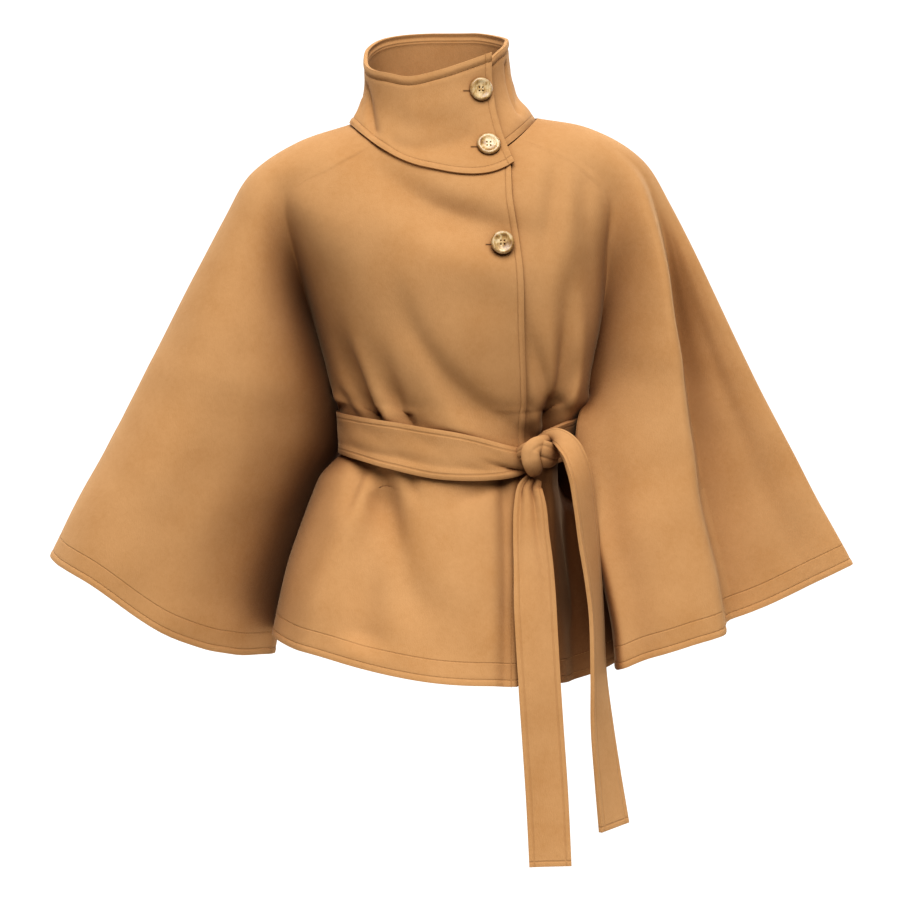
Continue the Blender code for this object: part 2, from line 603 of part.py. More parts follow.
def build_collar():
    angles = np.linspace(COLLAR[0][0], COLLAR[-1][0], 44)
    grid = collar_point(angles[None, :], np.linspace(0.0, 1.0, 6)[:, None])
    n = grid.shape[1]
    faces = grid_faces(grid.shape[0], n, lambda r, c: r * n + c)
    ob = make_object("collar", grid.reshape(-1, 3), faces, CAMEL)
    add_wall(ob, COLLAR_WALL)


def wrap_point(turn, level, off):
    """Point on the body's outer face at the belt; turn continues round the back."""
    if turn >= -1.0:
        face, across = "front", turn
    elif turn >= -3.0:
        face, across = "back", -2.0 - turn
    else:
        face, across = "front", turn + 4.0
    eps = 0.004
    p = body_point(face, level, across)
    q = body_point(face, level, np.clip(across + eps, -1, 1))
    r = body_point(face, level, np.clip(across - eps, -1, 1))
    t = (q - r)[:2]
    t = t / np.linalg.norm(t)
    n = np.array([t[1], -t[0]])
    if np.dot(n, p[:2] - np.array([0.016, -0.01])) < 0:
        n = -n
    return np.array([p[0] + n[0] * off, p[1] + n[1] * off, p[2]])


def build_belt_band():
    names = ("turn", "mid_z", "height")
    table = [(-row[0],) + row[1:] for row in BELT_BAND]
    turns = np.linspace(table[0][0], table[-1][0], 46)
    mid = column(table, names, "mid_z", turns)
    tall = column(table, names, "height", turns)
    off = CLOTH / 2 + BELT_WALL / 2 + 2 * SEAM
    rows = []
    for h in np.linspace(0.5, -0.5, 4):
        ring = []
        for turn, zm, ht in zip(turns, mid, tall):
            z = zm + h * ht
            level = np.interp(-z, [-row[1] for row in TORSO], [row[0] for row in TORSO])
            x, y, _ = wrap_point(-turn, float(level), off)
            ring.append((x, y, z))
        rows.append(ring)
    grid = np.array(rows)
    n = grid.shape[1]
    faces = grid_faces(len(rows), n, lambda r, c: r * n + c)
    ob = make_object("belt_band", grid.reshape(-1, 3), faces, CAMEL)
    add_wall(ob, BELT_WALL)


def strap(name, table, steps, thick):
    """Sweep a flat rounded section along the table's centre points."""
    rows = np.array(table)
    along = np.concatenate([[0], np.cumsum(np.linalg.norm(np.diff(rows[:, :3], axis=0), axis=1))])
    s = np.linspace(0, along[-1], steps)
    p = np.stack([spline(along, rows[:, k], s) for k in range(3)], -1)
    width = spline(along, rows[:, 3], s)
    turn = np.radians(spline(along, rows[:, 4], s))
    tangent = np.gradient(p, axis=0)
    tangent /= np.linalg.norm(tangent, axis=1, keepdims=True)
    flat = np.cross(np.array([0.0, -1.0, 0.0]), tangent)
    flat /= np.linalg.norm(flat, axis=1, keepdims=True)
    face = np.cross(tangent, flat)
    wide = flat * np.cos(turn)[:, None] + face * np.sin(turn)[:, None]
    deep = np.cross(tangent, wide)
    prof = [(-0.5, -0.30), (-0.46, -0.5), (0.0, -0.5), (0.46, -0.5), (0.5, -0.30),
            (0.5, 0.30), (0.46, 0.5), (0.0, 0.5), (-0.46, 0.5), (-0.5, 0.30)]
    verts = []
    for i in range(steps):
        for a, b in prof:
            verts.append(p[i] + wide[i] * a * width[i] + deep[i] * b * thick)
    n = len(prof)
    faces = [[i * n + j, i * n + (j + 1) % n, (i + 1) * n + (j + 1) % n, (i + 1) * n + j]
             for i in range(steps - 1) for j in range(n)]
    faces.append(list(range(n))[::-1])
    faces.append([(steps - 1) * n + j for j in range(n)])
    return make_object(name, verts, faces, CAMEL)


def build_buttons():
    """Turned buttons: raised rim, dished face and four holes."""
    verts = [(r, 0.0, h) for r, h in BUTTON_PROFILE]
    edges = [(i, i + 1) for i in range(len(verts) - 1)]
    for name, on, x, z in BUTTONS:
        ob = make_object(name, verts, [], HORN, 0.35, edges)
        ob.matrix_world = button_seat(on, x, z)
        turn = ob.modifiers.new("turn", "SCREW")
        turn.steps = BUTTON_SIDES
        turn.render_steps = BUTTON_SIDES
        turn.use_merge_vertices = True
        turn.merge_threshold = 0.0001
        for i, (sx, sy) in enumerate(((1, 1), (-1, 1), (-1, -1), (1, -1))):
            bm = bmesh.new()
            bmesh.ops.create_cone(bm, cap_ends=True, segments=8, radius1=HOLE_R,
                                  radius2=HOLE_R, depth=0.02)
            tool = bpy.data.meshes.new("hole")
            bm.to_mesh(tool)
            bm.free()
            cutter = bpy.data.objects.new(f"{name}_hole_{i}", tool)
            cutter.matrix_world = ob.matrix_world @ Matrix.Translation((sx * HOLE_AT, sy * HOLE_AT, 0))
            cutter.hide_render = True
            cutter.display_type = "WIRE"
            CUTTERS.objects.link(cutter)
            mod = ob.modifiers.new(f"hole_{i}", "BOOLEAN")
            mod.operation = "DIFFERENCE"
            mod.solver = "EXACT"
            mod.object = cutter


def button_seat(on, x, z):
    """Matrix that lays a button, modelled facing +Z, on the collar or the front."""
    if on == "collar":
        us, vs, wall = np.linspace(-30, 46, 90)[None, :], np.linspace(0, 1, 60)[:, None], COLLAR_WALL
        grid = collar_point(us, vs)
    else:
        us, vs, wall = np.linspace(0, 0.6, 90)[None, :], np.linspace(0.5, 4, 90)[:, None], CLOTH
        grid = body_point("front", vs, us)
    r, c = np.unravel_index(np.argmin((grid[..., 0] - x) ** 2 + (grid[..., 2] - z) ** 2),
                            grid.shape[:2])
    n = Vector(np.cross(grid[r, c + 4] - grid[r, c - 4], grid[r + 4, c] - grid[r - 4, c]))
    n = n.normalized()
    n = -n if n.y > 0 else n
    off = wall / 2 + 0.0014 + (0.00105 if on == "collar" else 0.0003)
    at = Vector(grid[r, c]) + n * off
    turn = n.to_track_quat("Z", "Y").to_matrix().to_4x4()
    return Matrix.Translation(at) @ turn


CAMEL = (0.565, 0.342, 0.162)
HORN = (0.52, 0.38, 0.22)

clear_scene()
COAT = bpy.data.collections.new("belted_cape_coat")
bpy.context.scene.collection.children.link(COAT)
CUTTERS = bpy.data.collections.new("cutters")
bpy.context.scene.collection.children.link(CUTTERS)
CUTTERS.hide_render = True
CUTTERS.hide_viewport = True

build_panels()
build_collar()
build_belt_band()
strap("belt_tail_long", TAIL_LONG, 22, BELT_WALL)
strap("belt_tail_short", TAIL_SHORT, 26, BELT_WALL)
strap("belt_knot", KNOT, 14, 0.009)
build_buttons()
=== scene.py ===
"""Belted cape coat in camel wool coating, filled out as it is worn.

Metres, +Z up, front towards -Y, origin in the middle of the neck seam.  The coat is
put together here as a tailor would: panels, collar, belt, buttons, then the stitching.
"""
import math

import bmesh
import bpy
import numpy as np
from mathutils import Matrix, Vector


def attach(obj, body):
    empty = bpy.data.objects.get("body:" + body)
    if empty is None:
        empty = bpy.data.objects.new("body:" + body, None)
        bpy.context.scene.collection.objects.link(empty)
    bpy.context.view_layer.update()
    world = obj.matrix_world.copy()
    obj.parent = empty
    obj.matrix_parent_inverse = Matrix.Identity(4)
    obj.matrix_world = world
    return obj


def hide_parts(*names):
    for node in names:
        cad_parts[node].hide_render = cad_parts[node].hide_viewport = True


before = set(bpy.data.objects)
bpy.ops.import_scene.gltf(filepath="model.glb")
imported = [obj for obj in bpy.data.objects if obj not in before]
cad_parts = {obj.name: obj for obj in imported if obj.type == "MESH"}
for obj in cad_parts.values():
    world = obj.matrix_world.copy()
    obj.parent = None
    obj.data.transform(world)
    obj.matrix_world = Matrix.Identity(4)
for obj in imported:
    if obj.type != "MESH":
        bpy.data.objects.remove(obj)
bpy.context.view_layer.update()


# ---- body panels -----------------------------------------------------------------
# Two fronts and a back in heavy wool coating, the sleeves cut in one with them.  The
# right front laps over the left.  Each is one thick fulled cloth with turned hems, and
# it keeps the roundness that a wearer gives it.
CLOTH = 0.0030          # thickness of the coating, pressed
SEAM = 0.0005           # groove where two panels meet
ROWS_ABOVE = 58         # mesh rows from the neck to the underarm
ROWS_BELOW = 96         # and from there to the hem's edge
ROWS_HEM = 20           # of those, the closer ones in the stitched hem
HEM_FROM = 11.38        # section number where the stitched hem begins
PART_ROW = ROWS_ABOVE - 1       # mesh row at the underarm
SMOOTHINGS = 150        # passes that round off the valley between body and sleeve
PANEL_EDGE = 0.0012     # rounding of a turned edge
BODY_COLS = 62          # columns across half the body
SLEEVE_COLS = 66        # columns across a sleeve
LAP_COLS = 22           # columns in the overlap of the fronts
NECK_DROP = 0.45        # sections by which the overlapping end of the neck seam is lower
UNDERARM = 5.0          # section number where body and sleeve part
LAP = 0.25              # overlap of the fronts, as a share of the half body
EDGE_ROW = 0.0068       # first row of stitches, in from a panel's edge
HEM_ROWS = (EDGE_ROW, 0.0245)   # both rows at a hem
BACK_NECK_RISE = 0.056  # the back's neck seam lies this much higher than the front's
OUTSIDE_Y = {"front": -1.0, "back": 1.0}    # which way along y each face looks
# sections down the body: number, height and x of its middle, front and back y, edge x
TORSO = [
    # level   z      apex   front   back   edge
    (0.0, -0.053, 0.000, -0.095, 0.068, 0.071),
    (1.0, -0.088, 0.002, -0.112, 0.086, 0.071),
    (2.0, -0.132, 0.004, -0.124, 0.098, 0.079),
    (3.0, -0.184, 0.006, -0.130, 0.101, 0.083),
    (4.0, -0.236, 0.010, -0.126, 0.097, 0.085),
    (5.0, -0.286, 0.014, -0.113, 0.089, 0.087),
    (6.0, -0.312, 0.016, -0.107, 0.085, 0.088),
    (7.0, -0.350, 0.017, -0.105, 0.084, 0.088),
    (8.0, -0.388, 0.016, -0.107, 0.086, 0.087),
    (9.0, -0.432, 0.014, -0.119, 0.099, 0.083),
    (10.0, -0.488, 0.011, -0.133, 0.113, 0.080),
    (11.0, -0.544, 0.008, -0.144, 0.124, 0.078),
    (12.0, -0.597, 0.006, -0.152, 0.132, 0.078),
]
# side seam of the body, underarm seam and overarm seam of the sleeve, how far it
# stands off in front and behind, and its drop between the seams
RIGHT = [
    # level side_x side_y side_z   in_x   in_y   in_z   out_x  out_z  puff_f puff_b dip
    (0.0, -0.078, 0.000, -0.020, -0.078, 0.000, -0.020, -0.101, -0.003, 0.050, 0.030, 0.0),
    (1.0, -0.124, 0.000, -0.050, -0.124, 0.000, -0.050, -0.160, -0.023, 0.060, 0.045, 0.0),
    (2.0, -0.168, 0.008, -0.094, -0.168, 0.008, -0.094, -0.209, -0.056, 0.064, 0.050, 0.0),
    (3.0, -0.158, 0.026, -0.150, -0.158, 0.026, -0.150, -0.238, -0.104, 0.070, 0.056, 0.0),
    (4.0, -0.144, 0.030, -0.215, -0.144, 0.030, -0.215, -0.270, -0.163, 0.078, 0.060, 0.0),
    (5.0, -0.1250, 0.020, -0.286, -0.1250, 0.020, -0.286, -0.300, -0.220, 0.084, 0.062, 0.001),
    (5.5, -0.1160, 0.009, -0.300, -0.1245, 0.026, -0.300, -0.308, -0.237, 0.086, 0.060, 0.002),
    (6.0, -0.1125, 0.000, -0.312, -0.1165, 0.034, -0.312, -0.318, -0.256, 0.087, 0.058, 0.003),
    (7.0, -0.110, 0.000, -0.350, -0.1115, 0.050, -0.350, -0.334, -0.287, 0.088, 0.056, 0.005),
    (7.3, -0.1105, 0.000, -0.361, -0.1125, 0.052, -0.361, -0.339, -0.297, 0.088, 0.056, 0.005),
    (7.6, -0.122, 0.000, -0.372, -0.119, 0.054, -0.373, -0.345, -0.308, 0.089, 0.055, 0.006),
    (8.0, -0.135, 0.000, -0.386, -0.128, 0.056, -0.390, -0.352, -0.322, 0.090, 0.054, 0.007),
    (8.5, -0.1445, 0.000, -0.407, -0.139, 0.057, -0.413, -0.362, -0.340, 0.091, 0.053, 0.009),
    (9.0, -0.1525, 0.000, -0.428, -0.150, 0.058, -0.436, -0.372, -0.359, 0.092, 0.052, 0.010),
    (10.0, -0.170, 0.000, -0.478, -0.170, 0.058, -0.490, -0.393, -0.398, 0.092, 0.052, 0.016),
    (11.0, -0.181, 0.000, -0.522, -0.184, 0.056, -0.541, -0.413, -0.437, 0.092, 0.052, 0.021),
    (12.0, -0.189, 0.000, -0.560, -0.192, 0.052, -0.588, -0.433, -0.477, 0.090, 0.052, 0.026),
]
LEFT = [
    # level side_x side_y side_z   in_x   in_y   in_z   out_x  out_z  puff_f puff_b dip
    (0.0, 0.078, 0.000, -0.018, 0.078, 0.000, -0.018, 0.101, 0.003, 0.050, 0.030, 0.0),
    (1.0, 0.126, 0.000, -0.044, 0.126, 0.000, -0.044, 0.158, -0.008, 0.060, 0.045, 0.0),
    (2.0, 0.172, 0.000, -0.086, 0.172, 0.000, -0.086, 0.214, -0.041, 0.064, 0.052, 0.0),
    (3.0, 0.173, -0.010, -0.146, 0.173, -0.010, -0.146, 0.246, -0.091, 0.070, 0.058, 0.0),
    (4.0, 0.169, -0.022, -0.212, 0.169, -0.022, -0.212, 0.278, -0.153, 0.078, 0.068, 0.0),
    (5.0, 0.155, -0.032, -0.284, 0.155, -0.032, -0.284, 0.306, -0.212, 0.080, 0.076, 0.0),
    (5.5, 0.150, -0.031, -0.299, 0.1575, -0.034, -0.299, 0.314, -0.229, 0.074, 0.080, 0.0),
    (6.0, 0.1435, -0.024, -0.312, 0.1475, -0.050, -0.313, 0.323, -0.247, 0.068, 0.086, 0.0),
    (7.0, 0.138, -0.010, -0.350, 0.1425, -0.069, -0.354, 0.341, -0.284, 0.060, 0.096, 0.0),
    (8.0, 0.141, -0.004, -0.388, 0.149, -0.080, -0.397, 0.360, -0.320, 0.055, 0.102, 0.0),
    (9.0, 0.163, 0.000, -0.432, 0.157, -0.092, -0.443, 0.382, -0.361, 0.052, 0.106, 0.0),
    (10.0, 0.180, 0.000, -0.484, 0.170, -0.101, -0.490, 0.404, -0.402, 0.050, 0.108, 0.0),
    (11.0, 0.190, 0.000, -0.532, 0.180, -0.106, -0.536, 0.427, -0.442, 0.050, 0.110, 0.0),
    (12.0, 0.198, 0.000, -0.577, 0.184, -0.108, -0.580, 0.449, -0.482, 0.050, 0.110, 0.0),
]
# the deep fold in the front of the left sleeve: its form at the hem, then up the sleeve
LOBE = [
    # place share  forward
    (0.00, 0.000, 0.000),
    (0.06, 0.010, 0.019),
    (0.16, 0.085, 0.038),
    (0.30, 0.260, 0.072),
    (0.41, 0.405, 0.084),
    (0.47, 0.436, 0.074),
    (0.53, 0.446, 0.034),
    (0.59, 0.475, 0.002),
    (0.72, 0.640, 0.008),
    (0.88, 0.885, 0.014),
    (0.95, 0.975, 0.012),
    (0.985, 0.9980, 0.006),
    (1.00, 1.000, 0.000),
]
RIDGE = [
    # level share  strength
    (0.0, 0.76, 0.00),
    (1.2, 0.76, 0.15),
    (2.0, 0.75, 0.50),
    (3.0, 0.72, 0.85),
    (4.0, 0.64, 1.00),
    (5.0, 0.61, 1.05),
    (6.0, 0.60, 1.00),
    (7.0, 0.57, 1.00),
    (8.0, 0.54, 1.00),
    (9.0, 0.49, 1.00),
    (10.0, 0.46, 1.00),
    (11.0, 0.44, 1.00),
    (12.0, 0.423, 1.00),
]
TORSO_COLS = ("level", "z", "apex", "front", "back", "edge")
SIDE_COLS = ("level", "side_x", "side_y", "side_z", "in_x", "in_y", "in_z",
             "out_x", "out_z", "puff_front", "puff_back", "dip")
LOBE_COLS = ("place", "share", "forward")
RIDGE_COLS = ("level", "share", "strength")
LOBE_PLACE = 0.41       # the fold's crest: place across, share out and metres forward
LOBE_SHARE = 0.42
LOBE_AHEAD = 0.084
# main folds: half width across, depth in metres, + sinks in
FOLDS = [
    # face    part       top   bottom  across at top, bottom  width  depth
    ("front", "body", 2.2, 6.4, 0.12, 0.42, 0.16, 0.0045),
    ("front", "body", 4.0, 6.6, -0.66, -0.46, 0.09, 0.0070),
    ("front", "body", 4.6, 6.6, -0.34, -0.22, 0.07, 0.0050),
    ("front", "body", 4.2, 6.6, 0.70, 0.54, 0.08, 0.0060),
    ("front", "body", 7.4, 11.8, -0.36, -0.32, 0.09, 0.0110),
    ("front", "body", 7.6, 12.6, -0.50, -0.62, 0.10, -0.0070),
    ("front", "body", 7.6, 11.0, 0.44, 0.50, 0.08, 0.0070),
    ("front", "body", 7.6, 12.6, 0.64, 0.70, 0.10, 0.0080),
    ("back", "body", 3.4, 6.6, -0.54, -0.34, 0.12, 0.0060),
    ("back", "body", 3.0, 6.6, 0.46, 0.30, 0.12, 0.0070),
    ("back", "body", 4.2, 6.6, -0.04, 0.02, 0.09, 0.0050),
    ("back", "body", 7.4, 12.6, -0.34, -0.44, 0.12, 0.0100),
    ("back", "body", 7.4, 11.6, 0.06, 0.02, 0.10, 0.0070),
    ("back", "body", 7.4, 12.6, 0.40, 0.52, 0.12, 0.0110),
    ("front", "right", 2.6, 13.9, 0.60, 0.72, 0.12, -0.0060),
    ("front", "right", 4.5, 13.9, 0.36, 0.40, 0.10, 0.0060),
    ("back", "right", 3.0, 13.9, 0.66, 0.60, 0.10, -0.0080),
    ("back", "right", 5.0, 13.9, 0.34, 0.30, 0.10, 0.0070),
    ("back", "left", 3.0, 13.9, 0.62, 0.66, 0.10, -0.0080),
    ("back", "left", 5.0, 13.9, 0.36, 0.34, 0.10, 0.0080),
]


def spline(xs, ys, x):
    """Cubic curve through the table's values, with level slopes at turning points."""
    xs = np.asarray(xs, float)
    ys = np.asarray(ys, float)
    x = np.clip(np.asarray(x, float), xs[0], xs[-1])
    step = np.diff(xs)
    rise = np.diff(ys) / step
    slope = np.zeros(len(xs))
    slope[1:-1] = np.where(rise[:-1] * rise[1:] > 0, (rise[:-1] + rise[1:]) / 2, 0.0)
    slope[0] = rise[0]
    slope[-1] = rise[-1]
    i = np.clip(np.searchsorted(xs, x, side="right") - 1, 0, len(xs) - 2)
    t = (x - xs[i]) / step[i]
    return ((2 * t**3 - 3 * t**2 + 1) * ys[i] + (t**3 - 2 * t**2 + t) * step[i] * slope[i]
            + (3 * t**2 - 2 * t**3) * ys[i + 1] + (t**3 - t**2) * step[i] * slope[i + 1])


def column(table, names, name, x):
    """One named column of a table, read smoothly along the table's first column."""
    k = names.index(name)
    return spline([row[0] for row in table], [row[k] for row in table], x)


def sizes_at(table, names, x):
    """All columns of a table at once, by name."""
    return {name: column(table, names, name, x) for name in names[1:]}


def ease(a, b, x):
    """Smooth step from 0 at a to 1 at b."""
    t = np.clip((x - a) / (b - a), 0.0, 1.0)
    return t * t * (3 - 2 * t)


def hump(x, centre, width):
    """Bell-shaped swell: 1 at the centre, almost nothing at twice the width from it."""
    return np.exp(-((x - centre) / width) ** 2)


def fold_depth(face, part, level, across):
    """Sum of the folds of one part at a section level and place across."""
    total = np.zeros(np.broadcast(level, across).shape)
    for f_face, f_part, top, low, at_top, at_low, width, depth in FOLDS:
        if (f_face, f_part) != (face, part):
            continue
        run = np.clip((level - top) / (low - top), 0.0, 1.0)
        centre = at_top + (at_low - at_top) * run
        rise = ease(0.0, 0.30, run) * (1.0 - ease(0.86, 1.0, (level - top) / (low - top)))
        total = total + depth * rise * hump(across, centre, width)
    return total


def waist(level):
    """1 under the belt, where the cloth is pressed flat, 0 away from it."""
    return ease(5.6, 6.0, level) * (1.0 - ease(8.0, 8.4, level))


def side_turn(torso, side):
    """Turn of the joined form's sweep at which the side seam lies."""
    reach = (side["side_x"] - torso["apex"]) / (side["out_x"] - torso["apex"])
    return np.arcsin(np.clip(reach, -1, 1))


def joined_form(face, level, torso, side, turn):
    """Body and sleeve on one sweep: turn 0 at the centre, a quarter turn at the overarm."""
    rise = BACK_NECK_RISE * (1 - ease(0.0, 1.6, level)) if face == "back" else 0.0
    centre_z = torso["z"] + rise
    return np.stack([torso["apex"] + (side["out_x"] - torso["apex"]) * np.sin(turn),
                     torso[face] * np.cos(turn) ** 0.92,
                     centre_z + (side["out_z"] - centre_z) * np.sin(turn) ** 2], -1)


def body_point(face, level, across):
    """Body surface: across runs -1 (right side seam) .. 0 .. 1 (left side seam)."""
    level, across = np.broadcast_arrays(np.asarray(level, float), np.asarray(across, float))
    torso = sizes_at(TORSO, TORSO_COLS, level)
    right = sizes_at(RIGHT, SIDE_COLS, level)
    left = sizes_at(LEFT, SIDE_COLS, level)
    on_left = across > 0
    side = {name: np.where(on_left, left[name], right[name]) for name in right}
    a = np.abs(across) * math.pi / 2
    # parted form: a quarter ellipse from the centre to the side seam
    split = np.stack([torso["apex"] + (side["side_x"] - torso["apex"]) * np.sin(a),
                      side["side_y"] + (torso[face] - side["side_y"]) * np.cos(a) ** 0.92,
                      torso["z"] + (side["side_z"] - torso["z"]) * np.sin(a) ** 1.6], -1)
    joined = joined_form(face, level, torso, side, side_turn(torso, side) * np.abs(across))
    point = joined + (split - joined) * ease(0.6, UNDERARM, level)[..., None]
    # above the belt the cloth blouses out beside the side seams
    puff = np.where(on_left, 0.014, 0.0) if face == "back" else np.where(on_left, 0.0, 0.006)
    point[..., 0] += (np.sign(across) * puff * hump(np.abs(across), 0.86, 0.10)
                      * hump(level, 5.5, 0.40) * (1 - waist(level)))
    sink = fold_depth(face, "body", level, across) * (1 - waist(level)) * np.cos(a) ** 0.3
    point[..., 1] -= sink * OUTSIDE_Y[face]
    return point


def with_deep_fold(level, across, out, lift):
    """The left sleeve's front folded forward: the share out and the lift it then has."""
    ridge = column(RIDGE, RIDGE_COLS, "share", level)
    reach = column(RIDGE, RIDGE_COLS, "strength", level)
    lobe = ease(0.8, 2.4, level)
    share = column(LOBE, LOBE_COLS, "share", across)
    ahead = column(LOBE, LOBE_COLS, "forward", across)
    slope = LOBE_AHEAD * np.sin(np.clip(share / LOBE_SHARE, 0, 1) * math.pi / 2) ** 1.2
    slope = np.where(across < LOBE_PLACE, slope, ahead)
    ahead = slope + (ahead - slope) * ease(6.0, 9.5, level)
    shift = (ridge - LOBE_SHARE) * ease(0.0, LOBE_SHARE, share) * (1 - ease(LOBE_SHARE, 1.0, share))
    return out + (share + shift - out) * lobe, lift + (-ahead * reach - lift) * lobe


def sleeve_point(face, wearer, level, across):
    """Sleeve surface: across runs 0 (underarm seam) .. 1 (overarm seam)."""
    level, across = np.broadcast_arrays(np.asarray(level, float), np.asarray(across, float))
    torso = sizes_at(TORSO, TORSO_COLS, level)
    side = sizes_at(RIGHT if wearer == "right" else LEFT, SIDE_COLS, level)
    a = across * math.pi
    out = (1 - np.cos(a)) / 2
    soft = 0.45 * np.sin(a) + 0.55 * np.sin(a) ** 2
    lift = OUTSIDE_Y[face] * side["puff_" + face] * np.where(across < 0.5, soft, np.sin(a) ** 0.9)
    if (face, wearer) == ("front", "left"):
        out, lift = with_deep_fold(level, across, out, lift)
    sag = np.sin(math.pi * out ** 0.75) ** 2 * side["dip"]
    split = np.stack([side["in_x"] + (side["out_x"] - side["in_x"]) * out,
                      side["in_y"] * (1 - out) ** 2 + lift,
                      side["in_z"] + (side["out_z"] - side["in_z"]) * out - sag], -1)
    start = side_turn(torso, side)
    joined = joined_form(face, level, torso, side, start + (math.pi / 2 - start) * across)
    point = joined + (split - joined) * ease(0.6, UNDERARM, level)[..., None]
    point[..., 1] -= fold_depth(face, wearer, level, across) * np.sin(a) ** 0.5 * OUTSIDE_Y[face]
    return point


def neck_drop(x, level):
    """The overlapping front and its collar end sit lower towards the closing edge."""
    return NECK_DROP * ease(-0.020, 0.066, x) * (1 - ease(0.2, 1.6, level))


def levels():
    """Section levels of the mesh rows; one row is the underarm's."""
    above = np.linspace(0.0, UNDERARM, ROWS_ABOVE)
    below = np.linspace(UNDERARM, HEM_FROM, ROWS_BELOW - ROWS_HEM + 1)[1:]
    hem = np.linspace(HEM_FROM, TORSO[-1][0], ROWS_HEM + 1)[1:]
    return np.concatenate([above, below, hem])


def spread(n):
    """n places from 0 to 1, closer together towards both ends."""
    t = np.linspace(0.0, 1.0, n)
    return t - 0.118 * np.sin(2 * math.pi * t)


def outward(grid, face):
    """Unit normals of a grid, on its outer side; a round piece faces away from its middle."""
    n = np.cross(np.gradient(grid, axis=1), np.gradient(grid, axis=0))
    n = n / np.maximum(np.linalg.norm(n, axis=-1, keepdims=True), 1e-9)
    if face == "round":
        return n * np.sign((n[..., :2] * grid[..., :2]).sum(-1).mean())
    return n * np.sign((n[..., 1] * OUTSIDE_Y[face]).mean())


def round_valley(grid, split_col):
    """Soften the trough between body and sleeve above the underarm."""
    near = hump(np.arange(grid.shape[1]), split_col, 15.0)[None, :, None]
    amount = np.zeros((grid.shape[0], 1, 1))
    amount[:PART_ROW, 0, 0] = np.linspace(0.6, 0.02, PART_ROW)
    share = (near * amount)[:, 1:-1]
    for _ in range(SMOOTHINGS):
        mean = (grid[:, :-2] + grid[:, 2:]) / 2
        grid[:, 1:-1] += (mean - grid[:, 1:-1]) * share
    return grid


def even_rows(sleeve, place):
    """Let the sleeve run smoothly past the level where it parts from the body."""
    near = hump(levels(), UNDERARM + 0.6, 1.3)[1:-1, None, None]
    free = ease(0.03, 0.30, place)[None, :, None]
    for _ in range(SMOOTHINGS):
        mean = (sleeve[:-2] + sleeve[2:]) / 2
        sleeve[1:-1] += (mean - sleeve[1:-1]) * near * free * 0.6
    return sleeve


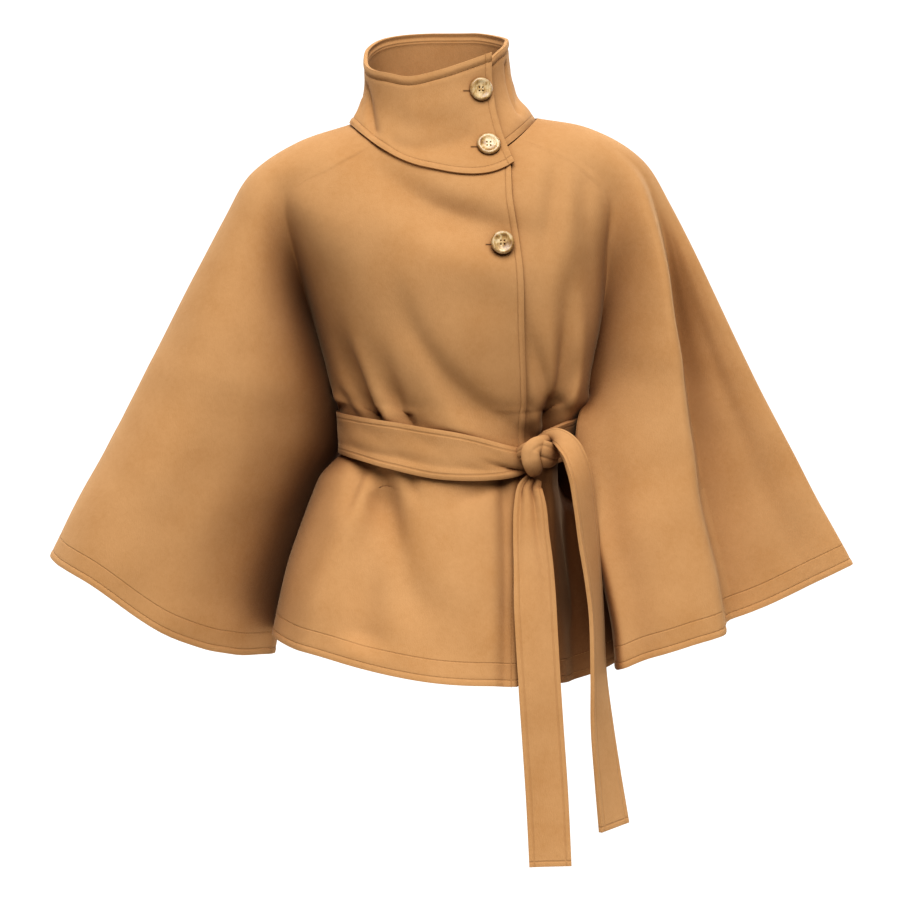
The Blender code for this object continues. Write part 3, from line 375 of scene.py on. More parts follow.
# creases seen on the cloth, drawn as seen from the front (or through it, on the back)
# mm: x and z of up to three points, half width at each end, depth (+ sinks), softness of
# the far side, and how the ends die out (0 fades, 1 runs on into the belt or the hem)
CREASES = [
    # face     x1    z1    x2    z2    x3    z3   w1  w2  depth side  top low
    ("front", -58, -62, 2, -94, 66, -114, 17, 18, 13.0, 1.5, 0, 0),
    ("front", -40, -130, 10, -150, 66, -156, 22, 16, -3.0, 1.5, 0, 0),
    ("front", -40, -206, 0, -272, 72, -326, 13, 15, 7.5, 1.6, 0, 1),
    ("front", -34, -248, -6, -290, 20, -330, 11, 11, -4.2, 1.5, 0, 1),
    ("front", -110, -230, -92, -278, -71, -324, 12, 6, 9.5, 1.9, 0, 1),
    ("front", -96, -240, -76, -284, -60, -324, 9, 7, -5.0, 1.4, 0, 1),
    ("front", -62, -262, -50, -296, -36, -324, 9, 4, 7.0, 1.9, 0, 1),
    ("front", -116, -290, -106, -306, -94, -322, 6, 5, 4.0, 1.6, 0, 1),
    ("front", 116, -62, 115, -96, 110, -140, 10, 11, 5.5, 1.3, 0, 0),
    ("front", 131, -66, 132, -100, 130, -150, 10, 10, -1.6, 1.2, 0, 0),
    ("front", 150, -64, 152, -100, 155, -180, 9, 10, 3.0, 1.5, 0, 0),
    ("front", 94, -236, 112, -292, 118, -338, 9, 6, 6.0, 1.6, 0, 1),
    ("front", 132, -206, 130, -268, 119, -334, 10, 7, 11.0, 1.3, 0, 1),
    ("front", 144, -214, 141, -268, 129, -322, 9, 6, -4.5, 1.3, 0, 1),
    ("front", 88, -240, 89, -290, 96, -334, 5, 5, 2.6, 1.2, 0, 1),
    ("front", -88, -362, -95, -384, -104, -410, 7, 8, 6.5, 1.2, 1, 0),
    ("front", -76, -352, -66, -402, -38, -492, 12, 21, 10.5, 0.9, 1, 0),
    ("front", -38, -364, -34, -384, -30, -400, 7, 6, 4.2, 1.2, 1, 0),
    ("front", 60, -380, 40, -392, 16, -402, 8, 10, 4.0, 1.6, 1, 0),
    ("front", 64, -380, 66, -470, 66, -600, 7, 9, 6.0, 1.2, 1, 1),
    ("front", 110, -374, 112, -412, 116, -470, 6, 8, -4.0, 1.2, 1, 0),
    ("front", 140, -374, 146, -450, 152, -590, 11, 17, 18.0, 1.2, 1, 1),
    ("front", -36, -500, -4, -530, 40, -570, 26, 34, 4.0, 1.3, 0, 0),
    ("back", -76, -230, -64, -278, -58, -322, 12, 7, 8.0, 1.6, 0, 1),
    ("back", -36, -204, -18, -266, -6, -322, 13, 8, 8.5, 1.6, 0, 1),
    ("back", -56, -232, -42, -276, -30, -322, 11, 7, -3.5, 1.4, 0, 1),
    ("back", 44, -190, 42, -258, 34, -322, 14, 7, 9.0, 1.5, 0, 1),
    ("back", 66, -222, 62, -272, 54, -322, 11, 7, -3.5, 1.4, 0, 1),
    ("back", 92, -226, 86, -276, 74, -322, 11, 6, 7.5, 1.6, 0, 1),
    ("back", 112, -256, 106, -290, 102, -322, 8, 6, 5.5, 1.4, 0, 1),
    ("back", -92, -364, -98, -430, -112, -530, 7, 17, 10.0, 1.2, 1, 0),
    ("back", -44, -364, -46, -412, -40, -490, 7, 15, 9.0, 1.4, 1, 0),
    ("back", 12, -364, 10, -400, 14, -458, 7, 13, 7.5, 1.2, 1, 0),
    ("back", 62, -364, 70, -430, 82, -550, 7, 18, 11.0, 1.2, 1, 0),
    ("back", 110, -364, 118, -410, 130, -490, 7, 13, 7.0, 1.2, 1, 0),
    ("back", -80, -50, -48, -80, -6, -98, 14, 16, 4.0, 1.5, 0, 0),
    ("back", 24, -104, 66, -84, 96, -54, 14, 14, 3.6, 1.5, 0, 0),
]
CREASE_STEPS = 8        # straight steps that a crease's curve is measured by
# long soft flutes down the sleeves: level from, to; place across at both; half width; mm
FLUTES = [
    # face    sleeve   from   to   across      width  depth
    ("front", "right", 2.0, 13.5, 0.70, 0.77, 0.055, -2.4),
    ("front", "right", 3.0, 13.5, 0.52, 0.56, 0.070, 2.6),
    ("front", "right", 5.2, 13.8, 0.12, 0.10, 0.040, -2.0),
    ("front", "left", 5.0, 13.5, 0.19, 0.17, 0.045, 2.4),
    ("front", "left", 6.0, 13.8, 0.10, 0.09, 0.026, -1.6),
    ("front", "left", 3.4, 13.5, 0.80, 0.84, 0.045, 2.2),
    ("back", "right", 2.0, 13.6, 0.50, 0.47, 0.060, 3.4),
    ("back", "right", 3.0, 13.6, 0.78, 0.80, 0.050, 2.6),
    ("back", "right", 5.0, 13.8, 0.20, 0.16, 0.050, -2.6),
    ("back", "left", 2.0, 13.6, 0.48, 0.50, 0.060, 3.2),
    ("back", "left", 3.4, 13.6, 0.80, 0.79, 0.050, 2.6),
    ("back", "left", 5.4, 13.8, 0.18, 0.15, 0.050, -2.4),
]


def crease_depth(face, x, z):
    """How far the drawn creases sink the cloth at points x, z (metres)."""
    total = np.zeros(x.shape)
    for f, x1, z1, x2, z2, x3, z3, w1, w2, depth, side, top, low in CREASES:
        if f != face:
            continue
        t = np.linspace(0.0, 1.0, CREASE_STEPS + 1)[:, None]
        a, b, c = (np.array(p, float) / 1000 for p in ((x1, z1), (x2, z2), (x3, z3)))
        mid = 2 * b - (a + c) / 2
        line = (1 - t) ** 2 * a + 2 * t * (1 - t) * mid + t ** 2 * c
        best = np.full(x.shape, 1e9)
        along = np.zeros(x.shape)
        hand = np.ones(x.shape)
        for i in range(CREASE_STEPS):
            p, d = line[i], line[i + 1] - line[i]
            s = ((x - p[0]) * d[0] + (z - p[1]) * d[1]) / (d @ d)
            # the first and last steps run on straight past the crease's ends
            s = np.clip(s, 0.0 if i else -6.0, 1.0 if i < CREASE_STEPS - 1 else 6.0)
            gx, gz = x - p[0] - s * d[0], z - p[1] - s * d[1]
            dist = np.hypot(gx, gz)
            near = dist < best
            best = np.where(near, dist, best)
            along = np.where(near, (i + s) / CREASE_STEPS, along)
            hand = np.where(near, np.sign(gx * d[1] - gz * d[0]), hand)
        width = (w1 + (w2 - w1) * np.clip(along, 0, 1)) / 1000
        width = np.where(hand > 0, width * side, width)
        start = ease(-0.9, -0.1, along) if top else ease(-0.55, 0.45, along)
        stop = 1 - (ease(1.1, 1.9, along) if low else ease(0.55, 1.5, along))
        # a crease that runs into the belt or the hem ends just past its last point
        if top:
            start = start * (1 - ease(z1 / 1000 + 0.012, z1 / 1000 + 0.036, z))
        if low:
            stop = stop * ease(z3 / 1000 - 0.036, z3 / 1000 - 0.012, z)
        total += depth / 1000 * hump(best, 0.0, width) * start * stop
    return total


# height of the belt's upper and lower edge across the front, mm
BELT_TOP = [(-150, -315), (-120, -315), (-90, -317), (-40, -321), (0, -327), (30, -331.5), (60, -340),
            (80, -347), (98, -352), (118, -342), (140, -333), (160, -330)]
BELT_LOW = [(-150, -359), (-120, -361), (-70, -371), (-20, -377.5), (20, -380), (60, -379.5),
            (90, -374), (118, -372), (140, -368), (160, -366)]


def under_belt(face, x, z, early):
    """1 where the belt presses the cloth flat, 0 where it runs free."""
    if face == "back":
        top, low = -0.320 + 0 * x, -0.365 + 0 * x
    else:
        top = spline(*zip(*BELT_TOP), x * 1000) / 1000
        low = spline(*zip(*BELT_LOW), x * 1000) / 1000
    return ease(-early, 0.010, top - z) * ease(-early, 0.008, z - low)


def flute_depth(face, wearer, level, place):
    """How far the flutes sink one half of a sleeve at a section level and place across."""
    total = np.zeros(np.broadcast(level, place).shape)
    for f, w, top, low, at_top, at_low, width, depth in FLUTES:
        if (f, w) != (face, wearer):
            continue
        run = np.clip((level - top) / (low - top), 0.0, 1.0)
        centre = at_top + (at_low - at_top) * run
        total = total + depth / 1000 * ease(0.0, 0.45, run) * hump(place, centre, width)
    return total


# how far the hem is cut up (+) or let down (-), mm, by x in mm
HEM_TRIM = {
    "body": [(-190, 0), (-165, 2), (-143, 5), (-100, 6), (-58, 5.5), (-15, 4), (6, 3), (28, 1),
             (50, -1), (70, -4), (100, -7), (122, -9), (142, -11), (165, -10), (190, -5)],
    "right": [(-420, 3), (-411, 5), (-394, 8.5), (-378, 10.5), (-361, 11), (-344, 10.5), (-310, 10),
              (-276, 9), (-259, 6.5), (-242, 4), (-225, 0), (-208, -2), (-190, -3)],
    "left": [(184, -3), (216, -2), (233, -3), (250, -4), (267, -5), (284, -7), (301, -8.5), (318, -9.5),
             (335, -10.5), (352, -10.5), (369, -9.5), (386, -8), (403, -6), (420, -4), (440, -2)],
}


def trim_hem(grid, part, row_levels):
    """Cut the hem to its finished line, the change dying out above it."""
    move = spline(*zip(*HEM_TRIM[part]), grid[..., 0] * 1000) / 1000
    grid[..., 2] += move * ease(9.0, 12.0, row_levels)
    return grid


def run_length(grid, axis):
    """Distance along the rows (axis 1) or columns (axis 0) of a grid, from its start."""
    step = np.linalg.norm(np.diff(grid, axis=axis), axis=-1)
    zero = np.zeros_like(np.take(step, [0], axis=axis))
    return np.concatenate([zero, np.cumsum(step, axis=axis)], axis=axis)


def puffed_edge(dist, thick):
    """Fullness of a turned, stitched edge: out between edge and stitches, in at them."""
    full = 0.0005 * hump(dist, 0.0032, 0.0020)
    pulled_in = 0.00045 * hump(dist, EDGE_ROW, 0.0013)
    return (full - pulled_in) * (thick / CLOTH)


def unevenness(grid):
    """Slow swells of half a millimetre, as pressed wool never lies quite even."""
    x, z = grid[..., 0], grid[..., 2]
    return 0.00055 * (np.sin(31 * x + 17 * z + 3 * np.sin(23 * z)) * np.sin(27 * z - 11 * x + 1.3)
                      + 0.6 * np.sin(58 * x - 21 * z + 2.1) * np.sin(49 * z + 9 * x))


def half_columns(face, wearer, start):
    """Columns of one half panel, from the closing edge or centre to the overarm seam."""
    row_levels = levels()[:, None]
    hand = -1.0 if wearer == "right" else 1.0
    lapped = face == "front"
    over = lapped and wearer == "right"
    t = np.linspace(0.0, 1.0, BODY_COLS)
    t = 0.45 * t + 0.55 * np.sin(t * math.pi / 2)
    near = (start - LAP if over else start)[:, None]
    across = near + (hand - near) * t
    if lapped:
        steps = LAP * (1 - (np.arange(LAP_COLS) / LAP_COLS) ** 1.7)
        across = np.concatenate([near - hand * steps, across], axis=1)
    body = body_point(face, row_levels, across)
    if over:
        body = body_point(face, row_levels + neck_drop(body[..., 0], row_levels), across)
    place = spread(SLEEVE_COLS)
    sleeve = sleeve_point(face, wearer, row_levels, place)
    body = trim_hem(body, "body", row_levels)
    sleeve = trim_hem(sleeve, wearer, row_levels)
    slit = body.shape[1] - 1
    joined = round_valley(np.concatenate([body, sleeve[:, 1:]], axis=1), slit)
    body[:PART_ROW] = joined[:PART_ROW, :slit + 1]
    sleeve[:PART_ROW] = joined[:PART_ROW, slit:]
    sleeve = even_rows(sleeve, place)
    out_body = outward(body, face)
    out_sleeve = outward(sleeve, face)
    # creases on the body, held flat under the belt
    flat = 1 - under_belt(face, body[..., 0], body[..., 2], 0.004)
    sink = (crease_depth(face, body[..., 0], body[..., 2])
            + 0.8 * fold_depth(face, "body", row_levels, across) * waist(row_levels))
    sink = np.where(sink < 0, sink * flat, sink * (0.45 + 0.55 * flat))
    rim = 1 - ease(0.965, 1.0, np.abs(across))
    rise = unevenness(body) * flat
    near_side = hump(np.abs(across), 1.0, 0.16) * hump(row_levels, 5.8, 0.5)
    body[..., 0] += hand * (0.009 if wearer == "left" else 0.003) * near_side
    body = body - out_body * ((sink - rise) * rim)[..., None]
    if lapped:
        body = body + out_body * puffed_edge(run_length(body, 1), CLOTH)[..., None]
    for grid, out in ((body, out_body), (sleeve, out_sleeve)):
        down = run_length(grid, 0)
        grid += out * (0.7 * puffed_edge(down[-1:] - down, CLOTH))[..., None]
    drop = flute_depth(face, wearer, row_levels, place)
    cover = ease(0.0, 0.06, place) * (1 - ease(0.94, 1.0, place))
    carry = crease_depth(face, sleeve[..., 0], sleeve[..., 2]) * (1 - ease(3.0, 4.5, row_levels))
    sleeve = sleeve - out_sleeve * ((drop + carry - unevenness(sleeve)) * cover)[..., None]
    # seam grooves, and room where four edges meet under the arm
    level = levels()
    groove = SEAM / 2 + 0.0010 * ease(4.6, UNDERARM, level) * (1 - ease(7.0, 8.5, level))
    clear = (CLOTH / 2 + SEAM) * hump(level, UNDERARM, 0.55)
    clear[PART_ROW + 1:] = 0.0
    body[:, -1, 1] += OUTSIDE_Y[face] * (groove + clear)
    sleeve[:, 0, 1] += OUTSIDE_Y[face] * (groove + clear)
    sleeve[:, -1, 1] += OUTSIDE_Y[face] * SEAM / 2
    return body, sleeve


def edge_across(row_levels):
    """Place across the body, by row, of the closing edge."""
    out = []
    for level, x in zip(row_levels, column(TORSO, TORSO_COLS, "edge", row_levels)):
        ts = np.linspace(-0.2, 0.75, 400)
        xs = body_point("front", level, ts)[:, 0]
        out.append(np.interp(x, xs, ts))
    return np.array(out)


def cloth_object(name, pieces, slits, flip, cuts):
    """One cloth panel from column blocks (rows x cols x 3), joined side by side.

    Neighbouring blocks share their edge points down to the underarm and are parted
    below it.  cuts holds, point by point, the distances to the panel's own edges.
    """
    verts, marks, faces, ids = [], [], [], []
    for k, (block, mark) in enumerate(zip(pieces, cuts)):
        rows, cols = block.shape[:2]
        for c in range(cols):
            line = []
            for r in range(rows):
                if c == 0 and k in slits and r <= PART_ROW:
                    line.append(ids[-1][r])
                else:
                    line.append(len(verts))
                    verts.append(block[r, c])
                    marks.append(mark[r, c])
            if c:
                for r in range(rows - 1):
                    quad = (ids[-1][r], line[r], line[r + 1], ids[-1][r + 1])
                    faces.append(quad[::-1] if flip else quad)
            ids.append(line)
    return thick_cloth(name, verts, faces, marks, CLOTH, PANEL_EDGE)


def put(name, data):
    """A new object in the scene."""
    ob = bpy.data.objects.new(name, data)
    bpy.context.scene.collection.objects.link(ob)
    return ob


def settle(ob):
    """Turn an object's modifiers into plain mesh."""
    plain = bpy.data.meshes.new_from_object(ob.evaluated_get(bpy.context.evaluated_depsgraph_get()))
    ob.modifiers.clear()
    ob.data = plain
    plain.name = ob.name
    return plain


def thick_cloth(name, verts, faces, marks, thick, round_edge):
    """A cloth sheet given its thickness and turned, rounded edges."""
    mesh = bpy.data.meshes.new(name)
    mesh.from_pydata([tuple(map(float, v)) for v in verts], [], [list(map(int, f)) for f in faces])
    cut = mesh.attributes.new("cut", "FLOAT_VECTOR", "POINT")
    cut.data.foreach_set("vector", np.asarray(marks, np.float32).ravel())
    mesh.shade_smooth()
    ob = put(name, mesh)
    wall = ob.modifiers.new("wall", "SOLIDIFY")
    wall.thickness = thick
    wall.offset = 0.0
    wall.use_rim = True
    turned = ob.modifiers.new("turned_edge", "BEVEL")
    turned.limit_method = "ANGLE"
    turned.angle_limit = math.radians(55.0)
    turned.width = round_edge
    turned.segments = 3
    settle(ob).shade_smooth()
    return ob


def linear(hexcode):
    """sRGB hex to the linear colour a shader wants."""
    rgb = [int(hexcode[i:i + 2], 16) / 255 for i in (1, 3, 5)]
    return tuple(c / 12.92 if c <= 0.04045 else ((c + 0.055) / 1.055) ** 2.4 for c in rgb) + (1.0,)


def add(tree, kind, settings=None, inputs=None, links=None):
    """Add one node with its settings, its input values and the links into it."""
    node = tree.nodes.new(kind)
    for key, value in (settings or {}).items():
        setattr(node, key, value)
    for key, value in (inputs or {}).items():
        node.inputs[key].default_value = value
    for key, socket in (links or {}).items():
        tree.links.new(socket, node.inputs[key])
    return node


def begin_material(name):
    """A material with an empty node tree, and the Object coordinates in it."""
    mat = bpy.data.materials.new(name)
    mat.use_nodes = True
    mat.node_tree.nodes.clear()
    return mat, mat.node_tree, add(mat.node_tree, "ShaderNodeTexCoord").outputs["Object"]


def wool_coating(name, furrows, holes=()):
    """Camel wool coating, fulled and brushed: dead matt, a soft short nap lying
    downwards, barely uneven in colour, and a shallow furrow along every stitch row; painted shade darkens
    the furrows, the folds and hollows, and the buttonhole slits."""
    mat, tree, place = begin_material(name)
    # dye takes unevenly over hand-sized patches, about 60 mm
    patch = add(tree, "ShaderNodeTexNoise", inputs={"Scale": 17.0, "Detail": 2.0, "Roughness": 0.5},
                links={"Vector": place})
    # tufts of felted fibre, about 6 mm
    tuft = add(tree, "ShaderNodeTexNoise", inputs={"Scale": 165.0, "Detail": 4.0, "Roughness": 0.62},
               links={"Vector": place})
    # nap: fibres about 1 mm wide and three times as long, lying down the cloth
    comb = add(tree, "ShaderNodeMapping", inputs={"Scale": (1.0, 1.0, 0.34)}, links={"Vector": place})
    nap = add(tree, "ShaderNodeTexNoise", inputs={"Scale": 950.0, "Detail": 3.0, "Roughness": 0.7},
              links={"Vector": comb.outputs["Vector"]})
    blend = add(tree, "ShaderNodeMath", {"operation": "MULTIPLY_ADD"}, {1: 0.55},
                {0: tuft.outputs["Fac"], 2: patch.outputs["Fac"]})
    blend = add(tree, "ShaderNodeMath", {"operation": "MULTIPLY_ADD"}, {1: 0.50},
                {0: nap.outputs["Fac"], 2: blend.outputs["Value"]})
    ramp = add(tree, "ShaderNodeValToRGB", links={"Fac": add(
        tree, "ShaderNodeMapRange", inputs={"From Min": 0.70, "From Max": 1.35},
        links={"Value": blend.outputs["Value"]}).outputs["Result"]})
    ramp.color_ramp.elements[0].color = linear("#B38454")
    ramp.color_ramp.elements[1].color = linear("#C09263")
    ramp.color_ramp.elements.new(0.5).color = linear("#BA8C5D")
    # the furrows pulled in by the stitches, read from the distances to the piece's edges
    marks = add(tree, "ShaderNodeAttribute", {"attribute_name": "cut"})
    cut = add(tree, "ShaderNodeSeparateXYZ", links={"Vector": marks.outputs["Vector"]})
    furrow = None
    for axis, far, wide in furrows:
        off = add(tree, "ShaderNodeMath", {"operation": "SUBTRACT"}, {1: far}, {0: cut.outputs[axis]})
        off = add(tree, "ShaderNodeMath", {"operation": "ABSOLUTE"}, links={0: off.outputs["Value"]})
        band = add(tree, "ShaderNodeMapRange", {"interpolation_type": "SMOOTHERSTEP"},
                   {"From Min": 0.0, "From Max": wide, "To Min": 1.0, "To Max": 0.0},
                   {"Value": off.outputs["Value"]})
        if furrow is None:
            furrow = band.outputs["Result"]
        else:
            furrow = add(tree, "ShaderNodeMath", {"operation": "MAXIMUM"},
                         links={0: furrow, 1: band.outputs["Result"]}).outputs["Value"]
    # painted shade: the colour is darkened towards #8E5C30, up to 16 %, along each stitch furrow
    shade = add(tree, "ShaderNodeMix", {"data_type": "RGBA"}, {7: linear("#8E5C30")},
                {6: ramp.outputs["Color"], 0: add(
                    tree, "ShaderNodeMath", {"operation": "MULTIPLY"}, {1: 0.16},
                    {0: furrow}).outputs["Value"]})
    # painted shade: deep in folds and hollows, where little light reaches, ambient occlusion darkens and
    # reddens the colour towards #5A2E0C
    fold_occlusion = add(tree, "ShaderNodeAmbientOcclusion", {"samples": 5}, {"Distance": 0.14})
    painted_fold_shade = add(tree, "ShaderNodeMapRange", {"interpolation_type": "SMOOTHSTEP"},
                 {"From Min": 0.12, "From Max": 1.0, "To Min": 0.96, "To Max": 0.0},
                 {"Value": fold_occlusion.outputs["AO"]})
    shade = add(tree, "ShaderNodeMix", {"data_type": "RGBA"}, {7: linear("#5A2E0C")},
                {6: shade.outputs[2], 0: painted_fold_shade.outputs["Result"]})
    # buttonholes, on the front only: a worked edge round a cut about 16 mm long, whose dark slit is painted
    # shade
    spot = add(tree, "ShaderNodeSeparateXYZ", links={"Vector": place})
    for x, z, half in holes:
        dx = add(tree, "ShaderNodeMath", {"operation": "SUBTRACT"}, {1: x}, {0: spot.outputs["X"]})
        dx = add(tree, "ShaderNodeMath", {"operation": "ABSOLUTE"}, links={0: dx.outputs["Value"]})
        dx = add(tree, "ShaderNodeMath", {"operation": "SUBTRACT", "use_clamp": True}, {1: half},
                 {0: dx.outputs["Value"]})
        dz = add(tree, "ShaderNodeMath", {"operation": "SUBTRACT"}, {1: z}, {0: spot.outputs["Z"]})
        away = add(tree, "ShaderNodeCombineXYZ", links={"X": dx.outputs["Value"], "Z": dz.outputs["Value"]})
        away = add(tree, "ShaderNodeVectorMath", {"operation": "LENGTH"}, links={0: away.outputs["Vector"]})
        side = add(tree, "ShaderNodeMath", {"operation": "LESS_THAN"}, {1: -0.01}, {0: spot.outputs["Y"]})
        # the worked edge in darker brown, then the slit's painted shade, near black
        for reach, most, tint in ((0.0024, 0.20, "#7A4A20"), (0.0009, 0.80, "#2A180C")):
            mask = add(tree, "ShaderNodeMapRange", {"interpolation_type": "SMOOTHSTEP"},
                       {"From Min": reach * 0.45, "From Max": reach, "To Min": most, "To Max": 0.0},
                       {"Value": away.outputs["Value"]})
            mask = add(tree, "ShaderNodeMath", {"operation": "MULTIPLY"},
                       links={0: mask.outputs["Result"], 1: side.outputs["Value"]})
            shade = add(tree, "ShaderNodeMix", {"data_type": "RGBA"}, {7: linear(tint)},
                        {6: shade.outputs[2], 0: mask.outputs["Value"]})
    low = add(tree, "ShaderNodeMath", {"operation": "MULTIPLY_ADD"}, {1: 0.35},
              {0: tuft.outputs["Fac"], 2: nap.outputs["Fac"]})
    felt = add(tree, "ShaderNodeBump", inputs={"Strength": 0.55, "Distance": 0.0005},
               links={"Height": low.outputs["Value"]})
    dent = add(tree, "ShaderNodeBump", {"invert": True}, {"Strength": 0.7, "Distance": 0.0006},
               {"Height": furrow, "Normal": felt.outputs["Normal"]})
    skin = add(tree, "ShaderNodeBsdfPrincipled",
               inputs={"Roughness": 0.93, "Specular IOR Level": 0.22, "Sheen Weight": 0.22,
                       "Sheen Roughness": 0.45, "Sheen Tint": linear("#E9C79C")},
               links={"Base Color": shade.outputs[2], "Normal": dent.outputs["Normal"]})
    add(tree, "ShaderNodeOutputMaterial", links={"Surface": skin.outputs["BSDF"]})
    return mat


# rows of stitches: the edge they follow (X closing edge, Y hem), distance in, half width
PANEL_ROWS = (("X", EDGE_ROW, 0.0012), ("Y", HEM_ROWS[0], 0.0012), ("Y", HEM_ROWS[1], 0.0013))
HALF_HOLE = 0.0078      # half the length of a buttonhole
panel_wool = wool_coating("brushed_wool_coating", PANEL_ROWS, [(0.0520, -0.1305, HALF_HOLE)])
NO_EDGE = 0.5           # distance given where a piece has no such edge


def far_marks(grid):
    """Distances of a grid's points to its edges, before any edge is measured."""
    return np.full(grid.shape, NO_EDGE)


def mark_block(grid, upright):
    """Distances of each point to the closing edge, the hem and the neck edge."""
    marks = far_marks(grid)
    down = run_length(grid, 0)
    marks[..., 1] = down[-1:] - down
    marks[..., 2] = down
    if upright:
        marks[..., 0] = run_length(grid, 1)
    return marks


row_levels = levels()
body_fr, sleeve_fr = half_columns("front", "right", edge_across(row_levels + neck_drop(1.0, row_levels)))
body_fl, sleeve_fl = half_columns("front", "left", edge_across(row_levels))
edge_x = column(TORSO, TORSO_COLS, "edge", row_levels)[:, None]
for part in (body_fl, sleeve_fl):
    under = (CLOTH + 3.0 * SEAM) * (1 - ease(0.006, 0.040, part[..., 0] - edge_x))
    part[..., 1] += under
body_br, sleeve_br = half_columns("back", "right", np.zeros(len(row_levels)))
body_bl, sleeve_bl = half_columns("back", "left", np.zeros(len(row_levels)))


def sewn_panel(name, blocks, slits, flip, uprights):
    """A panel of the coating; uprights tells which blocks begin at a closing edge."""
    cuts = [mark_block(b, u) for b, u in zip(blocks, uprights)]
    ob = cloth_object(name, blocks, slits, flip, cuts)
    ob.data.materials.append(panel_wool)
    return ob


front_right_cloth = sewn_panel("front_right_cloth", [body_fr, sleeve_fr], {1}, True, [True, False])
front_left_cloth = sewn_panel("front_left_cloth", [body_fl, sleeve_fl], {1}, False, [True, False])
back_blocks = [sleeve_br[:, ::-1], np.concatenate([body_br[:, ::-1], body_bl[:, 1:]], axis=1), sleeve_bl]
back_cloth = sewn_panel("back_cloth", back_blocks, {1, 2}, False, [False, False, False])
for piece, node, blocks in ((front_right_cloth, "front_right", [body_fr, sleeve_fr]),
                            (front_left_cloth, "front_left", [body_fl, sleeve_fl]),
                            (back_cloth, "back", back_blocks)):
    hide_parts(node)
    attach(piece, "root")


# ---- funnel collar ---------------------------------------------------------------
# A standing collar of two layers of the coating with interlining, so it keeps its tall
# funnel shape and a full rounded rim.  Its end laps over to the left and buttons down.
COLLAR_WALL = 0.0040
COLLAR_TALL = 0.10      # cut height of the collar
COLLAR_PER_DEGREE = 0.0016      # length of the collar to one degree round the neck
COLLAR_EDGE = 0.0017    # rounding of its turned edges
COLLAR_COLS = 250       # mesh columns round it, and rows up it
COLLAR_ROWS = 46
COLLAR = [
    # angle  rim_x   rim_y   rim_z   inset
    (47.0, 0.050, -0.058, 0.064, 0.0),
    (24.0, 0.020, -0.066, 0.053, 0.0),
    (0.0, -0.008, -0.069, 0.044, 0.0),
    (-24.0, -0.038, -0.066, 0.038, 0.0),
    (-50.0, -0.066, -0.050, 0.046, 0.0),
    (-75.0, -0.083, -0.022, 0.060, 0.0),
    (-100.0, -0.086, 0.014, 0.075, 0.0),
    (-125.0, -0.074, 0.046, 0.088, 0.0),
    (-152.0, -0.042, 0.068, 0.097, 0.0),
    (-180.0, -0.006, 0.074, 0.100, 0.0),
    (-208.0, 0.030, 0.068, 0.100, 0.0),
    (-235.0, 0.056, 0.048, 0.096, 0.0),
    (-260.0, 0.068, 0.018, 0.090, 0.0005),
    (-282.0, 0.068, -0.012, 0.084, 0.0028),
    (-302.0, 0.060, -0.038, 0.074, 0.0050),
    (-322.0, 0.045, -0.053, 0.061, 0.0052),
    (-345.0, 0.014, -0.062, 0.048, 0.0052),
]


def collar_point(angle, h):
    """Collar surface at degrees round from the front and height share 0 seam .. 1 rim."""
    angle, h = np.broadcast_arrays(np.asarray(angle, float), np.asarray(h, float))
    table = [(-row[0],) + row[1:] for row in COLLAR]
    rim = sizes_at(table, ("angle", "rim_x", "rim_y", "rim_z", "inset"), -angle)
    front = np.cos(np.radians(angle)) > 0
    foot_x = -RIGHT[0][SIDE_COLS.index("out_x")] * np.sin(np.radians(angle))
    level = np.where((angle > -180) & front, neck_drop(foot_x, 0.0), 0.0)
    torso = sizes_at(TORSO, TORSO_COLS, level)
    reach, side_z = (np.where(foot_x > 0, column(LEFT, SIDE_COLS, name, level),
                              column(RIGHT, SIDE_COLS, name, level)) for name in ("out_x", "out_z"))
    turn = np.arcsin(np.clip((foot_x - torso["apex"]) / (reach - torso["apex"]), -1, 1))
    foot_y = np.where(front, torso["front"], torso["back"]) * np.cos(turn) ** 0.92
    centre_z = np.where(front, torso["z"], TORSO[0][1] + BACK_NECK_RISE)
    foot_z = centre_z + (side_z - centre_z) * np.sin(turn) ** 2 + CLOTH / 2 + SEAM + 0.0018
    k = 1 - (1 - h) ** 2.5
    x = foot_x + (rim["rim_x"] - foot_x) * k
    y = foot_y + (rim["rim_y"] - foot_y) * k
    z = foot_z + (rim["rim_z"] - foot_z) * h
    out = np.stack([x + 0.005 * h, y], -1)
    out = out / np.linalg.norm(out, axis=-1, keepdims=True)
    return np.stack([x - out[..., 0] * rim["inset"], y - out[..., 1] * rim["inset"], z], -1)


# angle and height share from, to; half width in mm; depth in mm (+ sinks in)
COLLAR_CREASES = [
    (-76, 0.60, -52, 0.14, 9, 4.6),
    (-84, 0.34, -76, 0.06, 6, -1.8),
    (-30, 0.12, 22, 0.32, 10, 2.4),
    (-20, 0.60, 20, 0.66, 14, -1.2),
    (-100, 0.20, -140, 0.42, 10, 1.6),
    (-196, 0.34, -150, 0.28, 10, 1.4),
    (-262, 0.50, -288, 0.16, 8, 2.6),
    (-287, 0.74, -292, 0.16, 5, 3.4),
]


def collar_sink(angle, share):
    """How far the collar's creases sink it."""
    sink = np.zeros(np.broadcast(angle, share).shape)
    for a1, h1, a2, h2, wide, depth in COLLAR_CREASES:
        along, up = np.broadcast_arrays((angle - a1) * COLLAR_PER_DEGREE, (share - h1) * COLLAR_TALL)
        p = np.stack([along, up], -1)
        d = np.array([(a2 - a1) * COLLAR_PER_DEGREE, (h2 - h1) * COLLAR_TALL])
        s = np.clip((p @ d) / (d @ d), 0, 1)
        gap = np.linalg.norm(p - s[..., None] * d, axis=-1)
        sink += depth / 1000 * hump(gap, 0.0, wide / 1000)
    return sink


